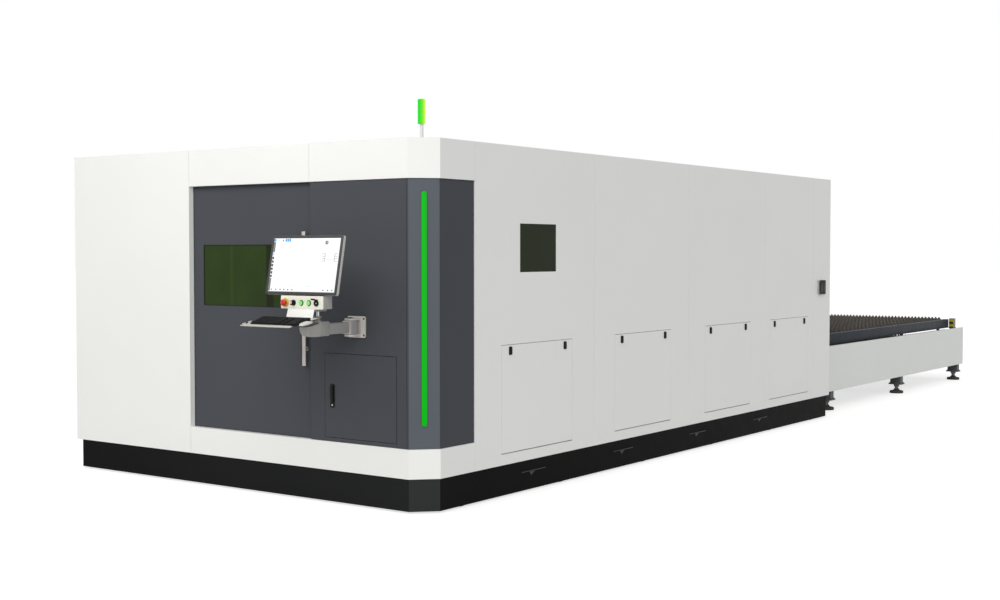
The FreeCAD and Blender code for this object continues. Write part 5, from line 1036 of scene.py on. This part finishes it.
def make_controls():
    """Mushroom stop, selector with its pointer, two lit push buttons and the port's cap."""
    stop = Piece()
    turn_on_face(stop, STOP_X, 32, [(0, 0), (8, 0.4), (15, 2), (18.8, 5), (20, 9), (20, 13),
                                    (18.5, 17), (13, 20.6), (9.8, 21.4), (9.8, 29.6), (0, 29.6)],
                 "stop_red", 44)
    stop.done("stop_mushroom", "estop_button", ("estop_button",))
    knob = Piece()
    turn_on_face(knob, SELECTOR_X, 8.1, [(0, 0), (12.5, 0), (14.2, 1.5), (15, 4), (15, 7.6),
                                         (0, 7.6)], "black_plastic")
    knob.slab(rounded(SELECTOR_X - 7, BUTTON_Z - 14, SELECTOR_X + 8, BUTTON_Z + 14, 4),
              FACE_Y - 24.2, FACE_Y - 7.6, "black_plastic", soft=1.4)
    knob.slab(rounded(SELECTOR_X - 6, BUTTON_Z - 5, SELECTOR_X + 7, BUTTON_Z + 9, 3),
              FACE_Y - 24.9, FACE_Y - 20, "white_plastic", soft=0.3)
    knob.done("selector_grip", "selector_knob", ("selector_knob",))
    for number, x in enumerate(BUTTONS_X, start=1):
        button = Piece()
        turn_on_face(button, x, 10, [(0, 0.8), (8, 0.3), (10.5, 0), (12, 0.6), (13, 2), (13, 10.6),
                                     (0, 10.6)], "button_green")
        button.done(f"push_button_{number}", f"green_button_{number}",
                    (f"green_button_{number}",))
    cap = Piece(Matrix.Translation((PORT_X, FACE_Y - 12, BUTTON_Z + 20))
                @ Matrix.Rotation(radians(-8), 4, "X"))
    cap.turned([(0, -0.8), (11, -0.8), (11.6, -2.5), (13.4, -2.5), (14, -1.9), (14, 4.4),
                (13.2, 5.2), (0, 5.2)], (0, -20, 0), "black_plastic")
    cap.turned(drum(2.5, 12, 0.4), (-6, 0, 0), "black_plastic", "x", 16)
    cap.block((-5, 5), (-9, 0), (-1.3, 1.3), "black_plastic", 0.5)
    cap.done("port_flip_cap", "data_port_cap", ("data_port_cap",))


MONITOR_W, MONITOR_H, BEZEL = 580, 362, 17
MONITOR_LEAN = radians(-11)


def make_monitor():
    """Flat monitor leaning back: bezel, rear housing with its vents, and the tilt knuckle."""
    at = (middle("monitor_screen").x, FACE_Y + 12, BUTTON_Z + 49)
    lean = Matrix.Translation(at) @ Matrix.Rotation(MONITOR_LEAN, 4, "X")
    half = MONITOR_W / 2
    outline = rounded(-half, 0, half, MONITOR_H, 9)
    opening = rounded(-half + BEZEL, BEZEL, half - BEZEL, MONITOR_H - BEZEL, 1)
    monitor = Piece(lean)
    monitor.slab(outline, 0, 5, "monitor_grey", soft=1.2, holes=[opening])
    monitor.slab(outline, 4.9, 26, "monitor_shell", soft=2.5)
    monitor.slab(rounded(-160, 90, 160, 310, 14), 25.5, 44, "monitor_shell", soft=4)
    for i in range(14):
        x = -117 + i * 18
        monitor.slab(rounded(x - 5, 200, x + 5, 285, 4.8), 43.5, 44.4, "black_plastic", soft=0.3)
    for x in (-50, 50):
        for z in (120, 170):
            monitor.turned(drum(5, 2, 0.5), (x, 43, z), "bright_steel", "y", 16)
    back = lean.inverted()
    monitor.turned(drum(13, 88, 1.5), (CONSOLE_X - 44, HINGE_Y, HINGE_Z), "monitor_grey", "x", 28,
                   turn=back)
    monitor.block((CONSOLE_X - 40, CONSOLE_X + 40), (HINGE_Y - 16, HINGE_Y + 8),
                  (HINGE_Z, HINGE_Z + 55), "monitor_grey", 3, turn=back)
    monitor.done("monitor_body", "monitor", ("monitor_housing",))

    width, height = half - BEZEL - 0.4, MONITOR_H - BEZEL - 0.4
    glass = Piece(lean)
    glass.slab(rounded(-width, BEZEL + 0.4, width, height, 0.8), 2.2, 4.6, "screen", soft=0.2)

    # The picture's flat patches, on a grid with its corners at 0 and 100.
    marks = [(0.2, 94, 2.8, 99, "blue"), (0.2, 74, 2.8, 93, "grey"), (0.2, 67.5, 2.6, 73, "pale")]
    marks += [(0.3, 60.5 - 6.8 * i, 2.9, 65 - 6.8 * i, "dark") for i in range(6)]
    marks += [(0.2, 1, 2.6, 25, "grey"), (6.2, 95, 7.4, 97.5, "pale"),
              (13, 94.6, 14.6, 97.6, "grey")]
    marks += [(left, 93.6, left + 2.4, 99.2, "blue") for left in (17.2, 20.2, 23.2)]
    marks += [(78, 88.4, 82.2, 95, "grey"), (80, 89.5, 81.2, 93.5, "pale")]
    for left, spine in ((75.6, 79.6), (93.6, 93.6)):
        marks.append((spine, 57, spine + 0.7, 71.5, "outline"))
        marks += [(left, low, left + 4.6, low + 0.9, "outline") for low in (57, 61.5, 66, 70.6)]
    marks.append((81, 60.6, 93.4, 61, "outline"))
    marks += [(left, low, left + wide, low + 0.8, "faint") for left, low, wide in (
        (29, 32, 2), (52, 33, 4), (77, 32, 1.4), (5, 32, 1.2), (20, 22, 1.6), (39, 22, 2),
        (28, 15, 3))]
    marks += [(32, 10.4, 44.6, 11, "cyan"), (57, 10.2, 65.5, 10.8, "cyan")]
    marks += [(left - 0.7, 2.6, left + 0.9, 4.8, "dark")
              for left in (5, 11.8, 18.4, 24.2, 30.2, 36.6, 83, 90, 96)]
    across, tall = 2 * width / 100, (height - BEZEL) / 100
    for left, low, right, high, shade in marks:
        glass.block((-width + left * across, -width + right * across), (1.9, 2.4),
                    (BEZEL + low * tall, BEZEL + high * tall), "screen_" + shade, 0)
    glass.done("monitor_picture", "monitor", ("monitor_screen",))


TRAY_W, TRAY_WING, TRAY_D, TRAY_Z = 395, 120, 237, 1212
TRAY_SLOPE = radians(10.5)
SUPPORT_TOP = BUTTON_Z - 36.3


def make_tray():
    """Folded tray on its sloping support, the keyboard with its keys, and the mouse on its pad."""
    rear = FACE_Y - 30
    slope = Matrix.Translation((CONSOLE_X, rear, TRAY_Z)) @ Matrix.Rotation(TRAY_SLOPE, 4, "X")
    left = extent("keyboard_tray")[0].x - CONSOLE_X
    split = left + TRAY_W
    right = split + TRAY_WING
    tray = Piece(slope)
    tray.slab([(left, 16), (left, -TRAY_D), (split, -TRAY_D), (split, 16)], -3, -0.4, "tray_paint",
              axis="z", soft=0.6)
    slots = [rounded(left + 300 + 13 * i, -1, left + 309 + 13 * i, 2.4, 1.6, 3) for i in range(7)]
    tray.slab([(left, -3), (split, -3), (split, 4), (left, 4)], -TRAY_D, -TRAY_D + 2.6,
              "tray_paint", soft=0.4, holes=slots)
    for near in (18, 66):
        tray.block((left, left + 2.6), (-TRAY_D + near, -TRAY_D + near + 26), (-1, 9), "tray_paint")
    pad = [(x, y - TRAY_D + 90) for x, y in rounded(split - 34, -59, right, 62, 40, 8)]
    tray.slab(pad, -3.2, 0.1, "rubber", axis="z", soft=1.2)
    foot = rear + 16
    support = [(FACE_Y + 44, SUPPORT_TOP), (FACE_Y, SUPPORT_TOP), (foot, TRAY_Z + 2),
               (foot, TRAY_Z - 1), (foot + 3, TRAY_Z - 1), (FACE_Y + 2, SUPPORT_TOP - 3),
               (FACE_Y + 44, SUPPORT_TOP - 3)]
    tray.slab(support, CONSOLE_X - 114, CONSOLE_X + 101, "white_paint", axis="x", soft=0.6,
              turn=slope.inverted())
    tray.done("keyboard_shelf", "console", ("keyboard_tray",))

    board = Piece(slope)
    near, far = -TRAY_D + 43, -TRAY_D + 171
    board_left, board_right = left + 40, left + 412
    board.slab([(near, 0.4), (far, 0.4), (far, 21), (far - 30, 21), (near, 7)], board_left,
               board_right, "key_black", axis="x", soft=1.8)
    board.done("keyboard_base", "console", ("keyboard",))
    rake = atan2(14, far - 30 - near)
    centre = ((board_left + board_right) / 2, (near + far) / 2 - 15, 16.5)
    keys_at = slope @ Matrix.Translation(centre) @ Matrix.Rotation(rake, 4, "X")
    keys_at.translation *= MM
    grown("keyboard_keys", KEYS, {
        "Columns": 22, "Rows": 6, "Width": 0.336, "Depth": 0.082, "Cap": 0.0138, "Rise": 0.006,
        "Material": FINISH["key_black"],
    }, "console", turn=keys_at)

    mouse = Piece(slope)
    mouse_x, mouse_y = split + TRAY_WING / 2 - 8, -TRAY_D + 92
    part = bmesh.new()
    bmesh.ops.create_uvsphere(part, u_segments=32, v_segments=16, radius=1)
    for vert in part.verts:
        x, y, z = vert.co
        squarer = 1 / max(abs(x) ** 2.6 + abs(y) ** 2.6, 1e-6) ** (1 / 2.6) * (x * x + y * y) ** 0.5
        vert.co.x = x * squarer * 28
        vert.co.y = y * squarer * 48
        vert.co.z = 0.4 + max(z, 0) ** 0.8 * (16 if y < 0.3 else 16 - 6 * (y - 0.3))
    part.transform(Matrix.Translation((mouse_x, mouse_y, 0)))
    bmesh.ops.remove_doubles(part, verts=part.verts, dist=0.01)
    mouse.take(part, "white_plastic")
    mouse.turned(drum(5, 5, 1.5), (mouse_x - 2.5, mouse_y - 28, 10), "black_plastic", "x", 24)
    mouse.done("mouse_shell", "console", ("mouse",))


# ---------------------------------------------------------------- cutting gear


def make_cutting_head():
    """Turned head: nozzle, ceramic sensor, knurled collars and the optics tube."""
    low, high = extent("cutting_head")
    y = low.y + 36
    head = Piece()
    head.block((low.x, high.x), (high.y - 30, high.y), (1010, 1180), "head_anodised", 3)
    for x in (-70, 70):
        for z in (1030, 1160):
            head.turned(drum(6, 4), (x, high.y - 33.5, z), "bright_steel", "y", 16)
    head.turned([(0, 0), (2.4, 0), (5.5, 1), (11.8, 13), (12, 20), (0, 20)], (0, y, low.z),
                "bright_steel")
    head.turned([(0, 20), (16, 20), (26, 28), (27, 31), (27, 43), (25, 45), (25, 52), (27, 54),
                 (27, 60), (0, 60)], (0, y, low.z), "head_anodised")
    rings = [(0, 60), (34, 60), (36, 62)]
    for z in (100, 150, 230, 300):
        rings += [(36, z), (34.5, z + 1.5), (34.5, z + 5), (36, z + 6.5)]
    rings += [(36, 356), (34, 358), (0, 358)]
    head.turned(rings, (0, y, low.z), "head_anodised", sides=40)
    head.done("head_stack", "head", ("cutting_head",))


# ---------------------------------------------------------------- finishes of the CAD nodes


def paint_cad():
    """Each CAD node that stays gets its slot's finish."""
    for part in frame["record"]["subparts"]:
        mesh = frame["nodes"][part["node"]].data
        mesh.materials.clear()
        slot = "side_glass" if part["node"] == "side_window" else part["material_slot"]
        mesh.materials.append(FINISH[slot])


# ---------------------------------------------------------------- camera, light and floor


EYE = (6.86976, -11.62777, 1.60747)
LENS, LOOKS_DOWN, LOOKS_ASIDE = 49.675, 2.017, 35.631
FLOOR_SIZE = 160.0
AMBIENT, SEEN_WHITE, FLOOR_GLOW = 0.44, 1.0, 0.64


def make_camera():
    """The photograph's viewpoint: a standing photographer off the machine's right front corner."""
    data = bpy.data.cameras.new("camera")
    data.sensor_width = 36
    data.lens = LENS
    data.clip_end = 400
    camera = added("camera", data)
    camera.location = EYE
    camera.rotation_euler = (radians(90 - LOOKS_DOWN), 0, radians(LOOKS_ASIDE))
    bpy.context.scene.camera = camera


def make_lamp(name, kind, energy, color, place, tilt, turn, **settings):
    """A lamp at a place, tilted up from straight down and then turned about Z, in degrees."""
    data = bpy.data.lights.new(name, kind)
    data.energy, data.color = energy, color
    for setting, value in settings.items():
        setattr(data, setting, value)
    lamp = added(name, data)
    lamp.location = place
    lamp.rotation_euler = (radians(tilt), 0, radians(turn))


def seen_share(tree, unseen, seen):
    """One value where a ray comes from the camera, a mirror or a pane, and another elsewhere."""
    rays = linked(tree, "ShaderNodeLightPath").outputs
    either = worked(tree, "MAXIMUM", rays["Is Camera Ray"], rays["Is Glossy Ray"])
    share = worked(tree, "MAXIMUM", either, rays["Is Transmission Ray"])
    return spread_of(tree, share, unseen, seen, 0.0, 1.0)


def make_surroundings():
    """Even white studio: a soft world, a broad key light, two boxes and a floor lit to white."""
    world = bpy.data.worlds.new("studio")
    bpy.context.scene.world = world
    world.use_nodes = True
    tree = world.node_tree
    backdrop = tree.nodes["Background"]
    backdrop.inputs["Color"].default_value = (1, 1, 1, 1)
    tree.links.new(seen_share(tree, AMBIENT, SEEN_WHITE), backdrop.inputs["Strength"])

    make_lamp("key", "SUN", 1.28, (1.0, 0.985, 0.965), (0, 0, 10), 60, 32, angle=radians(40))
    make_lamp("top_box", "AREA", 50, (1.0, 0.98, 0.95), (0.2, -8.2, 3.6), 67.2, 0,
              shape="RECTANGLE", size=4.5, size_y=1.6)
    make_lamp("side_box", "AREA", 72, (0.93, 0.99, 1.0), (8.6, -10.7, 1.6), 90, 51, size=3.0)

    mesh = bpy.data.meshes.new("floor")
    half = FLOOR_SIZE / 2
    mesh.from_pydata([(-half, -half, 0), (half, -half, 0), (half, half, 0), (-half, half, 0)], [],
                     [(0, 1, 2, 3)])
    floor = added("floor", mesh)
    tree, shader = finish("studio_floor")
    mesh.materials.append(FINISH["studio_floor"])
    for label, value in (("Base Color", (0.6, 0.6, 0.6, 1)), ("Roughness", 0.9),
                         ("Specular IOR Level", 0.1), ("Emission Color", (1, 1, 1, 1))):
        shader.inputs[label].default_value = value
    tree.links.new(seen_share(tree, 0.0, FLOOR_GLOW), shader.inputs["Emission Strength"])


bpy.context.scene.view_settings.view_transform = "Standard"
make_camera()
make_surroundings()
paint_cad()
make_door_fittings()
make_corner_light()
make_signal_tower()
make_latches()
make_cabinet_fittings()
make_side_box()
make_levelling_feet()
make_jacking_brackets()
for level in ("upper", "lower"):
    make_pallet(level)
make_table_fittings()
make_bracket()
make_arm()
make_console_box()
make_controls()
make_monitor()
make_tray()
make_cutting_head()
